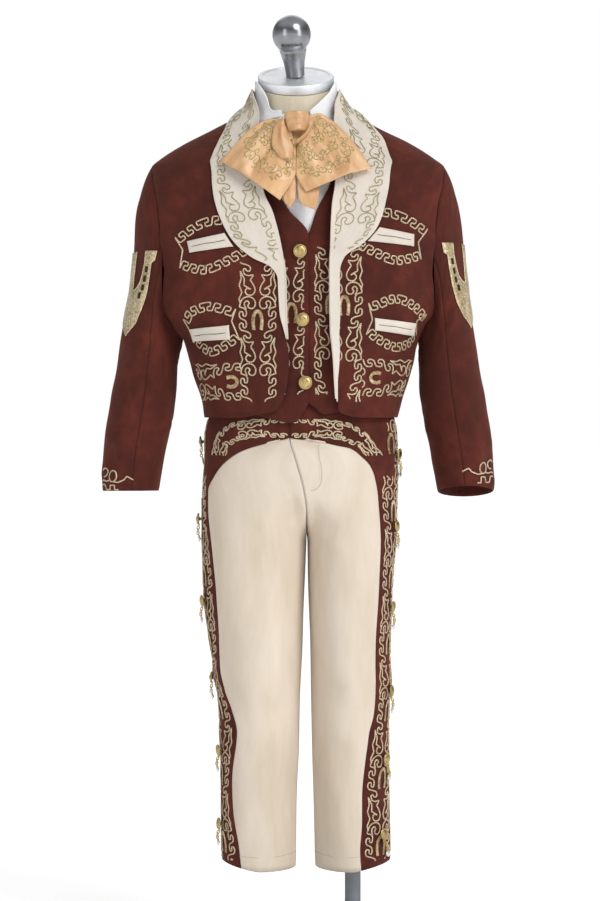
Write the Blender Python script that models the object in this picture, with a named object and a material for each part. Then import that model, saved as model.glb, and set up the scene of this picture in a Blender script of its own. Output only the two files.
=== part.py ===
"""A child's charro suit on a limbless dress form: short jacket, waistcoat, shirt, satin bow and two-tone trousers.

Millimetres in the tables, metres in the scene. +X is the wearer's left, the front faces -Y, and Z is up from
the underside of the stand's base plate. Every sewn piece is a wall of its cloth's thickness on a smooth surface.
"""

import math

import bpy
import numpy as np

MM = 0.001
SEAM = 0.34  # between the edges of two pieces that are sewn together
EPS = 0.02  # step of the differences that give a surface's normals

SHIRT_CLOTH = 1.0
VEST_CLOTH = 1.2
SUIT_CLOTH = 1.4
SATIN = 1.6

CREAM = ("cream_cloth", (0.80, 0.70, 0.57), 0.85, 0.0)
BROWN = ("brown_suede", (0.12, 0.030, 0.018), 0.9, 0.0)
WHITE = ("white_shirting", (0.82, 0.84, 0.88), 0.8, 0.0)
PEACH = ("peach_satin", (0.78, 0.47, 0.24), 0.4, 0.0)
GOLD = ("gold_metal", (0.72, 0.55, 0.22), 0.3, 1.0)
GOLD_THREAD = ("gold_thread", (0.55, 0.47, 0.20), 0.5, 0.3)
STEEL = ("polished_steel", (0.62, 0.62, 0.63), 0.2, 1.0)
LINEN = ("form_linen", (0.70, 0.63, 0.47), 0.9, 0.0)


def table(names, *rows):
    """Rows of numbers as named columns. The others are read by the first."""
    return dict(zip(names.split(), np.array(rows, float).T))


def smooth(key, value, at):
    """A curve through the points that never overshoots them, level beyond both ends."""
    order = np.argsort(key)
    x, y = key[order], value[order]
    step = np.diff(x)
    slope = np.diff(y) / step
    same = slope[1:] * slope[:-1] > 0
    mean = np.where(same, slope[1:] + slope[:-1], 1.0)
    inner = np.where(same, 2 * slope[1:] * slope[:-1] / mean, 0.0)
    tangent = np.concatenate([slope[:1], inner, slope[-1:]])
    at = np.clip(at, x[0], x[-1])
    i = np.clip(np.searchsorted(x, at) - 1, 0, len(step) - 1)
    t = (at - x[i]) / step[i]
    return (
        y[i] * (1 + 2 * t) * (1 - t) ** 2
        + tangent[i] * step[i] * t * (1 - t) ** 2
        + y[i + 1] * t * t * (3 - 2 * t)
        + tangent[i + 1] * step[i] * t * t * (t - 1)
    )


def read(tab, name, at):
    return smooth(tab[next(iter(tab))], tab[name], at)


def ease(value, low, high):
    """0 at low, 1 at high and smooth between."""
    t = np.clip((value - low) / (high - low), 0, 1)
    return t * t * (3 - 2 * t)


def power(value, exponent):
    return np.sign(value) * np.abs(value) ** exponent


# The layers round the trunk, each a stack of rounded rings.
RING = "z half_width front back centre roundness"

FORM = table(
    RING,
    (492, 84, 60, 65, -1, 2.3),
    (530, 82, 58.5, 62, -1, 2.3),
    (562, 78, 57, 54.5, -1, 2.2),
    (600, 79, 59, 55, -1, 2.2),
    (640, 87, 64, 60, -3, 2.3),
    (700, 93, 68, 64, -5, 2.3),
    (760, 99, 62, 62, -6, 2.3),
    (800, 90, 48.5, 51.5, -7, 2.2),
    (825, 68, 42.5, 44.5, -7, 2.0),
    (838, 52, 39, 41, -7, 2.0),
    (848, 41, 38, 39, -7, 2.0),
    (860, 37.5, 37, 37, -7, 2.0),
    (900, 36, 36, 36, -7, 2.0),
)

SHIRT = table(
    RING,
    (600, 86, 65, 61, -1, 2.2),
    (640, 91, 68, 64, -3, 2.3),
    (700, 97, 72, 68, -5, 2.3),
    (760, 103, 66, 66, -6, 2.3),
    (800, 98, 54, 57, -7, 2.2),
    (825, 73, 47, 49, -7, 2.0),
    (838, 55, 43.5, 45.5, -7, 2.0),
    (849, 44.5, 42, 42.5, -7, 2.0),
)

VEST = table(
    RING,
    (545, 91, 71.5, 66, -1, 2.3),
    (565, 91.5, 71.5, 66, -1, 2.3),
    (600, 92, 71.5, 65, -1, 2.3),
    (640, 96, 73, 67, -3, 2.3),
    (700, 102, 76, 71, -5, 2.3),
    (760, 108, 70, 69.5, -6, 2.3),
    (800, 103, 58, 60.5, -7, 2.2),
    (825, 78, 51, 53, -7, 2.0),
    (838, 60, 47.5, 49.5, -7, 2.0),
)

JACKET = table(
    RING,
    (551, 96.5, 78, 70, -2, 2.3),
    (568, 100, 78.5, 71, -1, 2.3),
    (598, 110, 80.5, 73, -1, 2.3),
    (628, 117, 82.5, 75, -2.5, 2.35),
    (640, 126, 83, 75.5, -3.5, 2.4),
    (653, 137, 83.2, 75.5, -4, 2.4),
    (671, 143.5, 83.2, 75.5, -4.5, 2.4),
    (700, 147, 82.5, 75, -5, 2.4),
    (740, 150, 79.5, 73.5, -5, 2.4),
    (775, 150.5, 73, 69.5, -5, 2.35),
    (800, 146, 65, 63.5, -5, 2.2),
    (808, 137, 62.5, 61.5, -5.5, 2.1),
    (823, 113, 58, 58.5, -5.5, 2.0),
    (838, 83, 53.5, 55, -6, 2.0),
    (850, 61, 49.5, 51, -5, 2.0),
    (858, 50.5, 47.5, 48.5, -6, 2.0),
)

COLLAR = table(
    RING,
    (551, 99.1, 80.8, 72.6, -2, 2.3),
    (568, 102.6, 81.3, 73.6, -1, 2.3),
    (598, 112.6, 83.3, 75.6, -1, 2.3),
    (628, 119.6, 85.3, 77.6, -2.5, 2.35),
    (653, 139.6, 86, 78.1, -4, 2.4),
    (700, 149.6, 85.3, 77.6, -5, 2.4),
    (740, 152.6, 82.3, 76.1, -5, 2.4),
    (775, 153.1, 76, 72.1, -5, 2.35),
    (800, 148.6, 68, 66.1, -5, 2.2),
    (808, 140, 65.4, 64.1, -5.5, 2.1),
    (823, 117, 61, 61.5, -5.5, 2.0),
    (838, 87.6, 56.5, 58.5, -6, 2.0),
    (850, 67, 53.2, 55, -5, 2.0),
    (861, 53.5, 49.5, 50.5, -6, 2.0),
    (870, 47.5, 46.8, 47.2, -6.7, 2.0),
    (878, 43.8, 44.6, 44.6, -7, 2.0),
)

SHIRT_COLLAR = table(
    RING,
    (836, 60, 50.5, 51.5, -7, 2.0),
    (850, 47.8, 46.2, 46.6, -7, 2.0),
    (862, 43.4, 43.3, 43.6, -7, 2.0),
    (874, 41.6, 41.6, 41.6, -7, 2.0),
    (888, 40.6, 40.6, 40.6, -7, 2.0),
)

STAND = table(
    RING,
    (850.5, 42.4, 40.9, 41.3, -7, 2.0),
    (860, 40.2, 39.8, 39.8, -7, 2.0),
    (872, 39.3, 39.3, 39.3, -7, 2.0),
)

HIPS = table(
    RING,
    (430, 97.4, 69, 74, -3.5, 2.3),
    (463, 97.4, 70, 77, -3, 2.3),
    (505, 96.8, 70, 77, -2, 2.3),
    (538, 95.5, 68.5, 72, -1.5, 2.3),
    (553, 92.2, 67.5, 67, -1.5, 2.3),
    (575, 87, 66, 61.5, -1, 2.3),
    (588, 84.5, 65.5, 60, -1, 2.3),
)


def ring(shape, turn, z):
    """A point of a layer. A turn of 0 is the front, 90 the wearer's left side and 180 the back."""
    turn, z = np.broadcast_arrays(np.asarray(turn, float), np.asarray(z, float))
    angle = np.radians(turn)
    exponent = 2 / read(shape, "roundness", z)
    deep = np.where(np.cos(angle) > 0, read(shape, "front", z), read(shape, "back", z))
    x = read(shape, "centre", z) + read(shape, "half_width", z) * power(np.sin(angle), exponent)
    y = -deep * power(np.cos(angle), exponent)
    return np.stack([x, y, z], -1)


def turn_at(shape, x, z):
    """The turn at which the front of a layer reaches x."""
    side = (x - read(shape, "centre", z)) / read(shape, "half_width", z)
    sine = power(np.clip(side, -1, 1), read(shape, "roundness", z) / 2)
    return np.degrees(np.arcsin(sine))


def layer(shape):
    return lambda turn, z: ring(shape, turn, z)


def normals(surface, across, up):
    """Outward normals of a surface whose across runs anticlockwise and whose up runs upwards."""
    along = surface(across + EPS, up) - surface(across - EPS, up)
    rise = surface(across, up + EPS) - surface(across, up - EPS)
    found = np.cross(along, rise)
    return found / np.linalg.norm(found, axis=-1, keepdims=True)


# Meshes


def material(kind):
    name, colour, roughness, metallic = kind
    made = bpy.data.materials.get(name)
    if made is None:
        made = bpy.data.materials.new(name)
        made.use_nodes = True
        shader = made.node_tree.nodes["Principled BSDF"]
        shader.inputs["Base Color"].default_value = (*colour, 1)
        shader.inputs["Roughness"].default_value = roughness
        shader.inputs["Metallic"].default_value = metallic
        made.diffuse_color = (*colour, 1)
    return made


def add(name, points, faces, kind, crease=40):
    mesh = bpy.data.meshes.new(name)
    mesh.from_pydata((np.asarray(points) * MM).tolist(), [], faces)
    mesh.validate()
    mesh.shade_smooth()
    mesh.set_sharp_from_angle(angle=math.radians(crease))
    mesh.materials.append(material(kind))
    made = bpy.data.objects.new(name, mesh)
    bpy.context.scene.collection.objects.link(made)
    return made


def solid(name, outer, inner, kind):
    """A closed wall between two grids of points, joined round their edges."""
    rows, columns = outer.shape[:2]
    out = np.arange(rows * columns).reshape(rows, columns)
    back = out + rows * columns
    faces = []

    def strip(a, b, c, d):
        faces.extend(zip(a.ravel().tolist(), b.ravel().tolist(), c.ravel().tolist(), d.ravel().tolist()))

    strip(out[:-1, :-1], out[:-1, 1:], out[1:, 1:], out[1:, :-1])
    strip(back[:-1, :-1], back[1:, :-1], back[1:, 1:], back[:-1, 1:])
    strip(out[0, 1:], out[0, :-1], back[0, :-1], back[0, 1:])
    strip(out[-1, :-1], out[-1, 1:], back[-1, 1:], back[-1, :-1])
    strip(out[:-1, 0], out[1:, 0], back[1:, 0], back[:-1, 0])
    strip(out[1:, -1], out[:-1, -1], back[:-1, -1], back[1:, -1])
    points = np.concatenate([outer.reshape(-1, 3), inner.reshape(-1, 3)])
    return add(name, points, faces, kind)


def facing_out(across, up):
    """Both grids, with the columns reversed if they run clockwise."""
    a, b = np.gradient(across), np.gradient(up)
    if (a[1] * b[0] - b[1] * a[0]).sum() < 0:
        return across[:, ::-1], up[:, ::-1]
    return across, up


def cloth(name, surface, across, up, thickness, kind, lift=0.0):
    """A piece of cloth on a surface: its outer face is lift above it, and its inner face the thickness below that."""
    across, up = np.broadcast_arrays(np.asarray(across, float), np.asarray(up, float))
    lift = np.broadcast_to(lift, across.shape)
    flipped = facing_out(across, up)
    if flipped[0] is not across:
        across, up, lift = flipped[0], flipped[1], lift[:, ::-1]
    normal = normals(surface, across, up)
    outer = surface(across, up) + lift[..., None] * normal
    return solid(name, outer, outer - thickness * normal, kind)


def between(start, end, count):
    """Rows from start to end, for arrays of starts and ends."""
    share = np.linspace(0, 1, count)
    start, end = np.asarray(start, float)[:, None], np.asarray(end, float)[:, None]
    return start + (end - start) * share


def turned(name, profile, foot, axis, sides, kind, crease=40):
    """A round piece: a profile of radius and height, closed at both ends, about an axis from its foot."""
    axis = np.array(axis, float) / np.linalg.norm(axis)
    side = np.cross(axis, (0, 0, 1) if abs(axis[2]) < 0.9 else (0, 1, 0))
    side /= np.linalg.norm(side)
    ahead = np.cross(axis, side)
    angle = np.arange(sides) * 2 * math.pi / sides
    points, faces = [], []
    for radius, height in profile:
        for a in angle:
            spoke = math.cos(a) * side + math.sin(a) * ahead
            points.append(np.array(foot) + height * axis + radius * spoke)
    for row in range(len(profile) - 1):
        for i in range(sides):
            a, b = row * sides + i, row * sides + (i + 1) % sides
            faces.append((a, b, b + sides, a + sides))
    faces.append(tuple(range(sides))[::-1])
    faces.append(tuple(range((len(profile) - 1) * sides, len(profile) * sides)))
    return add(name, points, faces, kind, crease)


# Jacket

SHOULDER_Z = 800
UNDERARM_Z = 628
ARMHOLE_STEPS = 10
ARMHOLE_HALF_DEPTH = 44
ARMHOLE_Z = (SHOULDER_Z + UNDERARM_Z) / 2 - (SHOULDER_Z - UNDERARM_Z) / 2 * np.cos(
    np.linspace(0, math.pi, ARMHOLE_STEPS + 1)
)
JACKET_ROWS = np.concatenate(
    [
        [551, 552.8, 556, 561, 570, 584, 605],
        ARMHOLE_Z,
        [811, 824, 837, 847, 858],
    ]
)

# Where each front ends beside the opening. The hem corner is round, and higher up the edge lies under the
# collar's fold.
FRONT_EDGE_RIGHT = table(
    "z x",
    (551, -62),
    (552.5, -52),
    (554, -43),
    (556.7, -30),
    (560.5, -24.3),
    (566, -20.8),
    (573, -18.3),
    (592, -14.6),
    (609, -13.6),
    (620, -15.6),
    (653, -18),
    (690, -19.5),
    (710, -22.5),
    (730, -26.5),
    (750, -32),
    (765, -39.5),
    (842, -45.5),
    (858, -47),
)
FRONT_EDGE_LEFT = table(
    "z x",
    (551, 56),
    (552.5, 46),
    (554, 40.5),
    (556.7, 35.5),
    (560.5, 34.2),
    (566, 34),
    (573, 34),
    (592, 32.5),
    (620, 30),
    (656, 28),
    (703, 28),
    (730, 28.8),
    (757, 30),
    (774, 33),
    (840, 33),
    (858, 33.5),
)


def armhole_turn(z, shape=JACKET):
    """The turn of the front of the left armhole at a height, 90 below and above it."""
    middle = (SHOULDER_Z + UNDERARM_Z) / 2
    share = np.clip((z - middle) / (SHOULDER_Z - middle), -1, 1)
    depth = ARMHOLE_HALF_DEPTH * np.sqrt(1 - share**2)
    cosine = power(depth / read(shape, "front", z), read(shape, "roundness", z) / 2)
    return np.degrees(np.arccos(np.clip(cosine, 0, 1)))


def back_armhole_turn(z, shape=JACKET):
    middle = (SHOULDER_Z + UNDERARM_Z) / 2
    share = np.clip((z - middle) / (SHOULDER_Z - middle), -1, 1)
    depth = ARMHOLE_HALF_DEPTH * np.sqrt(1 - share**2)
    cosine = power(depth / read(shape, "back", z), read(shape, "roundness", z) / 2)
    return 180 - np.degrees(np.arccos(np.clip(cosine, 0, 1)))


def half_seam(shape, z, turn):
    """Half a seam's gap as a turn, on a layer."""
    here = ring(shape, turn, z)
    radius = np.hypot(here[..., 0] - read(shape, "centre", z), here[..., 1])
    return np.degrees(SEAM / 2 / radius)


def jacket_body():
    z = JACKET_ROWS
    surface = layer(JACKET)
    gap = half_seam(JACKET, z, 90)
    outer = armhole_turn(z) - gap
    for name, sign, edge in (("right", -1, FRONT_EDGE_RIGHT), ("left", 1, FRONT_EDGE_LEFT)):
        inner = turn_at(JACKET, read(edge, "x", z), z)
        across = between(inner, sign * outer, 8)
        cloth(f"jacket_front_{name}", surface, across, z[:, None], SUIT_CLOTH, BROWN)
    edge = back_armhole_turn(z) + gap
    across = between(edge, 360 - edge, 13)
    cloth("jacket_back", surface, across, z[:, None], SUIT_CLOTH, BROWN)


# Sleeves: from the armhole's loop to rings down the arm. A turn of 0 is the outer side, 90 the front, 180 the side
# that faces the body.

SLEEVE = table(
    "z centre half_width half_depth y",
    (600, 151, 30, 46, 3),
    (572, 154.5, 32.4, 43.5, 1),
    (544, 159, 32.4, 40.5, -1),
    (511, 164, 30.6, 37, -4),
    (478, 167, 28, 34, -6),
)
SLEEVE_CENTRE = -5
CAP_ROWS = (0, 0.06, 0.17, 0.34, 0.56, 0.79)
SLEEVE_SEAM_TURN = 98
CUFF = {-1: (1.0, 0.0), 1: (6.0, 7.0)}  # how far the cuff's front rises, and its back drops


def armhole_loop(side):
    """Points of one armhole from its top round the front, the underarm and the back."""
    z = ARMHOLE_Z
    turn = np.concatenate([armhole_turn(z)[::-1], back_armhole_turn(z)[1:-1]])
    return ring(JACKET, side * turn, np.concatenate([z[::-1], z[1:-1]]))


def sleeve_rings(side):
    """Outer and inner rings of a whole sleeve from armhole to cuff, one column for each point of the armhole."""
    top = armhole_loop(side)
    count = len(top)
    # The sleeve's turn at each column follows the armhole's own height and depth.
    middle = (SHOULDER_Z + UNDERARM_Z) / 2
    turn = np.arctan2(-top[:, 1] / ARMHOLE_HALF_DEPTH, (top[:, 2] - middle) / (SHOULDER_Z - middle))
    outward = np.array([side, 0, 0])

    def low(z):
        wide, deep = read(SLEEVE, "half_width", z), read(SLEEVE, "half_depth", z)
        x = SLEEVE_CENTRE + side * (read(SLEEVE, "centre", z) + wide * np.cos(turn))
        y = read(SLEEVE, "y", z) - deep * np.sin(turn)
        return np.stack([x, y, np.full(count, z)], -1)

    foot = low(SLEEVE["z"].max())
    start = top + SEAM * outward
    reach = np.linalg.norm(foot - start, axis=1, keepdims=True)
    above = 0.5 + 0.5 * np.cos(turn)[:, None]
    away = start + reach * (0.05 + 0.03 * above) * outward - reach * 0.25 * np.array([0, 0, 1])
    toward = foot + reach * (0.3 * np.array([0, 0, 1]) - 0.04 * outward)
    rings = []
    for v in CAP_ROWS:
        curve = (1 - v) ** 3 * start + 3 * v * (1 - v) ** 2 * away + 3 * v * v * (1 - v) * toward + v**3 * foot
        head = 6 * (1 - (1 - v) ** 8) * (1 - v)
        rings.append(curve + head * above * outward)
    rings += [low(z) for z in SLEEVE["z"]]
    rise, drop = CUFF[side]
    cuff = rings[-1]
    ahead = np.sin(turn)
    cuff[:, 2] += np.where(ahead > 0, rise * ahead, drop * ahead)
    outer = np.array(rings)
    column = np.roll(outer, -1, axis=1) - np.roll(outer, 1, axis=1)
    normal = np.cross(column, np.gradient(outer, axis=0))
    normal /= np.linalg.norm(normal, axis=-1, keepdims=True)
    centre = outer.mean(axis=1, keepdims=True)
    normal *= np.sign((normal * (outer - centre)).sum(axis=(1, 2), keepdims=True))
    # At the armhole the wall stays in the loop's own plane, outside the jacket.
    normal[0] = np.stack([0 * turn, -np.sin(turn) / ARMHOLE_HALF_DEPTH, np.cos(turn) / (SHOULDER_Z - middle)], -1)
    normal[0] /= np.linalg.norm(normal[0], axis=1, keepdims=True)
    return outer, outer - SUIT_CLOTH * normal, np.degrees(turn)


def sleeves():
    for word, side in (("right", -1), ("left", 1)):
        outer, inner, turn = sleeve_rings(side)
        # Points of the loop split into the top sleeve and the under sleeve at the nearest columns.
        inside = np.abs(turn) <= SLEEVE_SEAM_TURN
        order = np.argsort(turn)
        for name, chosen in (
            ("top", [i for i in order if inside[i]]),
            ("under", None),
        ):
            if chosen is None:
                plus = [i for i in order if turn[i] > SLEEVE_SEAM_TURN]
                minus = [i for i in order if turn[i] < -SLEEVE_SEAM_TURN]
                first = [i for i in order if inside[i]][-1]
                last = [i for i in order if inside[i]][0]
                chosen = [first, *plus, *minus, last]
            a, b = outer[:, chosen].copy(), inner[:, chosen].copy()
            for edge, inward in ((0, 1), (-1, -2)):
                step = a[:, inward] - a[:, edge] + b[:, inward] - b[:, edge]
                step /= np.linalg.norm(step, axis=1, keepdims=True)
                a[:, edge] += SEAM / 2 * step
                b[:, edge] += SEAM / 2 * step
            # Rows run down, and the turn runs clockwise on the wearer's left.
            if side > 0:
                a, b = a[::-1], b[::-1]
            else:
                a, b = a[::-1, ::-1], b[::-1, ::-1]
            solid(f"sleeve_{name}_{word}", a[:, ::-1], b[:, ::-1], BROWN)


def sleeve_face(side):
    """The sleeve's outer surface as a function of turn and height, above the elbow."""
    outer, _, turn = sleeve_rings(side)
    order = np.argsort(turn)

    def surface(across, up):
        found = np.empty((*np.shape(across), 3))
        for at in np.ndindex(np.shape(across)):
            a, z = across[at], up[at]
            line = [np.array([np.interp(-z, -outer[:, i, 2], outer[:, i, k]) for i in order]) for k in (0, 1)]
            found[at] = (np.interp(a, turn[order], line[0]), np.interp(a, turn[order], line[1]), z)
        return found

    return surface


# A horseshoe on each sleeve, its two legs from their bars down to a point. The table gives the front half, and the
# back half mirrors it about HORSESHOE_AXIS. Turns are the right sleeve's, and SHIFT takes them to the left one.
HORSESHOE = table(
    "s outer_turn outer_z inner_turn inner_z",
    (0, 83, 714.5, 59.5, 715),
    (0.1, 84, 704.5, 60.5, 704.5),
    (0.12, 77, 704, 61, 704),
    (0.3, 78, 690, 58.5, 692),
    (0.5, 77.5, 674, 56, 683.5),
    (0.7, 72.5, 656, 51, 679),
    (0.85, 62, 643, 46, 677),
    (1, 41, 632, 41, 676.5),
)
HORSESHOE_AXIS = 41
HORSESHOE_SHIFT = {-1: (0, 0), 1: (-9, 8)}


def sleeve_horseshoes():
    steps = HORSESHOE["s"]
    s = np.unique(np.round(np.concatenate([steps, (steps[2:-1] + steps[3:]) / 2]), 3))
    for word, side in (("right", -1), ("left", 1)):
        surface = sleeve_face(side)
        shift_turn, shift_z = HORSESHOE_SHIFT[side]
        turn, z = {}, {}
        for edge in ("outer", "inner"):
            front, height = np.interp(s, steps, HORSESHOE[f"{edge}_turn"]), np.interp(s, steps, HORSESHOE[f"{edge}_z"])
            turn[edge] = shift_turn + np.concatenate([front, 2 * HORSESHOE_AXIS - front[-2::-1]])
            z[edge] = shift_z + np.concatenate([height, height[-2::-1]])
        across = between(turn["outer"], turn["inner"], 3)
        up = between(z["outer"], z["inner"], 3)
        points = surface(across, up)
        centre = np.stack([SLEEVE_CENTRE + side * (160 - 0.11 * (up - 640)), 0 * up, up], -1)
        spoke = (points - centre) * (1, 0.55, 0)
        spoke /= np.linalg.norm(spoke, axis=-1, keepdims=True)
        if side > 0:
            points, spoke = points[:, ::-1], spoke[:, ::-1]
        solid(f"sleeve_horseshoe_{word}", points + 2.8 * spoke, points + 1.3 * spoke, GOLD_THREAD)


# The shawl collar, from the centre back over the shoulder and down the front edge. Each row gives a point of the
# fold and the point of the outer edge beside it. Place 2 is the back, 1 the shoulder line and 0 the front.
COLLAR_ROW = "s fold_x fold_z outer_x outer_z place"
COLLAR_RIGHT = table(
    COLLAR_ROW,
    (0, -7, 874, -7, 826, 2),
    (1, -40, 876, -58, 831, 2),
    (2, 0, 878, 0, 850, 1),
    (3, -48.5, 867, -77, 835.5, 0),
    (4, -43.5, 842, -88, 811, 0),
    (5, -41, 800, -89, 787, 0),
    (6, -37.7, 768, -86.6, 764, 0),
    (7, -30, 750.6, -79, 741, 0),
    (8, -24.2, 730, -68, 722, 0),
    (9, -20.4, 712, -50, 706, 0),
    (10, -18, 697, -31, 696, 0),
    (11, -17, 682, -24.5, 684, 0),
    (12, -16.5, 655, -23, 655, 0),
    (13, -15.5, 627, -17, 628, 0),
)
COLLAR_LEFT = table(
    COLLAR_ROW,
    (0, -7, 874, -7, 826, 2),
    (1, 26, 876, 44, 831, 2),
    (2, 0, 878, 0, 850, 1),
    (3, 33.5, 866, 71, 837, 0),
    (4, 30.2, 842, 84, 811, 0),
    (5, 31, 800, 85, 790, 0),
    (6, 30.8, 774, 82, 768, 0),
    (7, 28, 755, 77.5, 749, 0),
    (8, 27, 737, 71, 734, 0),
    (9, 26.5, 720, 58, 719.5, 0),
    (10, 26, 706, 40, 706, 0),
    (11, 26, 690, 35.6, 692, 0),
    (12, 26, 656, 35.7, 656, 0),
    (13, 28.4, 620.5, 35.7, 617, 0),
    (14, 30.8, 592, 34.2, 592, 0),
    (15, 32.3, 570, 33.8, 567, 0),
)


def collar_edge(rows, edge, side):
    """Turn and height of one edge of the collar at each row."""
    x, z, place = rows[f"{edge}_x"], rows[f"{edge}_z"], rows["place"]
    front = turn_at(COLLAR, x, z)
    back = side * 180 - front
    turn = np.where(place == 2, back, np.where(place == 1, side * 90, front))
    turn[0] = side * (180 - 0.2)
    return turn, z


def collars():
    for word, side, rows in (("right", -1, COLLAR_RIGHT), ("left", 1, COLLAR_LEFT)):
        s = np.concatenate([np.linspace(0, 3, 11)[:-1], np.arange(3, rows["s"].max() + 0.1, 0.5)])
        edges = [collar_edge(rows, edge, side) for edge in ("fold", "outer")]
        turns = [smooth(rows["s"], turn, s) for turn, _ in edges]
        heights = [smooth(rows["s"], z, s) for _, z in edges]
        across, up = between(*turns, 5), between(*heights, 5)
        cloth(f"collar_{word}", layer(COLLAR), across, up, SUIT_CLOTH, CREAM)


# Pocket welts: the corners of each, outer end first.
WELTS = {
    "welt_upper_right": ((-112.5, 722.5), (-110, 711.5), (-76, 729.6), (-67.5, 716.6)),
    "welt_upper_left": ((107.6, 729.5), (107.5, 718), (74, 735.4), (62.5, 722)),
    "welt_lower_right": ((-110.5, 637.7), (-107, 626), (-71.6, 640.7), (-70.6, 627)),
    "welt_lower_left": ((109.6, 643.9), (108.6, 631.7), (69.5, 647.6), (69.5, 636)),
}


def welts():
    for name, corners in WELTS.items():
        top, foot, far_top, far_foot = np.array(corners)
        along = np.linspace(0, 1, 5)[None, :, None]
        down = np.linspace(0, 1, 3)[:, None, None]
        upper, lower = top + (far_top - top) * along, foot + (far_foot - foot) * along
        flat = upper + (lower - upper) * down
        across = turn_at(JACKET, flat[..., 0], flat[..., 1])
        cloth(name, layer(JACKET), across, flat[..., 1], 0.9, CREAM, lift=1.8)


# Waistcoat

VEST_ARMHOLE = table("z turn", (655, 90), (668, 74), (690, 63), (725, 57), (760, 57), (785, 64), (803, 80), (812, 90))
VEST_ROWS = np.array([590, 615, 640, 655, 668, 690, 710, 728.5, 745, 765, 783, 798, 812, 825, 838])
VEST_FRONTS = {
    # x of the front edge, then of the V neck, and the lower edge's height by x
    "right": (
        table("z x", (546, 5), (728.5, 5), (752, -13.5), (765, -22), (790, -35), (838, -52)),
        table("x z", (-92, 574), (-60, 559), (-40, 552.4), (-8.8, 546), (5.3, 565)),
    ),
    "left": (
        table("z x", (546, -8), (715, -8), (728.5, 4.8), (753, 13.4), (771, 23), (790, 30), (838, 40)),
        table("x z", (-8, 569), (8.6, 563.6), (20, 554.5), (33, 557), (60, 562), (92, 574)),
    ),
}
VEST_LAP = 2.8  # how far the upper front stands over the lower one where they lap
VEST_BUTTONS = ((-3, 712), (-0.6, 646), (2.3, 585))


def lap(x):
    return VEST_LAP * ease(x, -36, -12)


def vest_surface(side):
    def surface(turn, z):
        points = ring(VEST, turn, z)
        if side < 0:
            points[..., 1] -= lap(points[..., 0])
        return points

    return surface


def hem_rows(rows, foot):
    """Heights of a panel whose lower edge isn't level: foot gives it, and the first rows ease into the level ones."""
    first = foot[None, :]
    return np.concatenate([first, first + 0.5 * (rows[0] - first), np.repeat(rows[:, None], len(foot), 1)])


def vest():
    for word, side in (("right", -1), ("left", 1)):
        edge, foot = VEST_FRONTS[word]
        turn_out = np.where(VEST_ROWS < 655, 90, smooth(VEST_ARMHOLE["z"], VEST_ARMHOLE["turn"], VEST_ROWS))
        turn_out = np.concatenate([[90, 90], turn_out]) - 0.15
        count = 7
        level = turn_at(VEST, read(edge, "x", VEST_ROWS), VEST_ROWS)
        start = turn_at(VEST, edge["x"][0], VEST_ROWS[0])
        fan = between([start], [side * turn_out[0]], count)[0]
        x = ring(VEST, fan, 565.0)[:, 0]
        up = hem_rows(VEST_ROWS, read(foot, "z", x))
        across = between(np.concatenate([[start, start], level]), side * turn_out, count)
        cloth(f"vest_front_{word}", vest_surface(side), across, up, VEST_CLOTH, BROWN)
    rows = np.concatenate([[574], VEST_ROWS])
    edge = 180 - np.where(rows < 655, 90, smooth(VEST_ARMHOLE["z"], VEST_ARMHOLE["turn"], rows)) + 0.15
    cloth("vest_back", layer(VEST), between(edge, 360 - edge, 10), rows[:, None], VEST_CLOTH, BROWN)
    profile = ((2.2, 0), (2.2, 1.1), (6.1, 1.3), (6.6, 2.3), (5.4, 4.2), (2.4, 5.5))
    for number, (x, z) in enumerate(VEST_BUTTONS, 1):
        turn = turn_at(VEST, np.array(x), np.array(z))
        foot = vest_surface(-1)(turn, np.array(z)) - (0, 0.45, 0)
        turned(f"vest_button_{number}", profile, foot, (0, -1, 0), 12, GOLD)


# Shirt

SHIRT_ROWS = np.array([640, 680, 720, 755, 780, 797, 811, 825, 837, 849])
SHIRT_ARMHOLE = table("z turn", (600, 62), (785, 60), (812, 89.8), (849, 89.8))
LEAF = table(  # the height of each leaf's fold and of the lower edge, by turn from the front
    "turn right left foot",
    (17, 850, 851.5, 846.5),
    (26, 851, 857, 844.5),
    (34, 855, 862, 842.5),
    (42, 866, 866.5, 841),
    (52, 874.5, 872, 840),
    (64, 881, 880, 845),
    (78, 885, 885, 858),
    (95, 885.5, 885.5, 861),
    (130, 885, 885, 861),
    (180, 884, 884, 861),
)
STAND_TOP = table("turn z", (20, 853), (38, 854), (60, 866), (85, 871), (180, 871))


def shirt():
    surface = layer(SHIRT)
    turn = read(SHIRT_ARMHOLE, "turn", SHIRT_ROWS)
    cloth("shirt_front", surface, between(-turn, turn, 9), SHIRT_ROWS[:, None], SHIRT_CLOTH, WHITE)
    back = SHIRT_ROWS[2:]
    turn = 180 - turn[2:]
    cloth("shirt_back", surface, between(turn, 360 - turn, 8), back[:, None], SHIRT_CLOTH, WHITE)
    turn = np.linspace(20, 340, 21)
    up = between(np.full(21, 850.5), read(STAND_TOP, "z", np.minimum(turn, 360 - turn)), 3).T
    cloth("shirt_collar_stand", layer(STAND), turn[None, :], up, SHIRT_CLOTH, WHITE)
    for word, side in (("right", -1), ("left", 1)):
        turn = np.array([17, 25, 33, 41, 50, 59, 68, 80, 95, 115, 135, 157, 179.8])
        up = between(read(LEAF, word, turn), read(LEAF, "foot", turn), 4)
        cloth(f"shirt_collar_{word}", layer(SHIRT_COLLAR), side * turn[:, None], up, SHIRT_CLOTH, WHITE)


# Satin bow, on the collar's layer. Outlines are x and z of two edges from the knot outwards.

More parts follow.
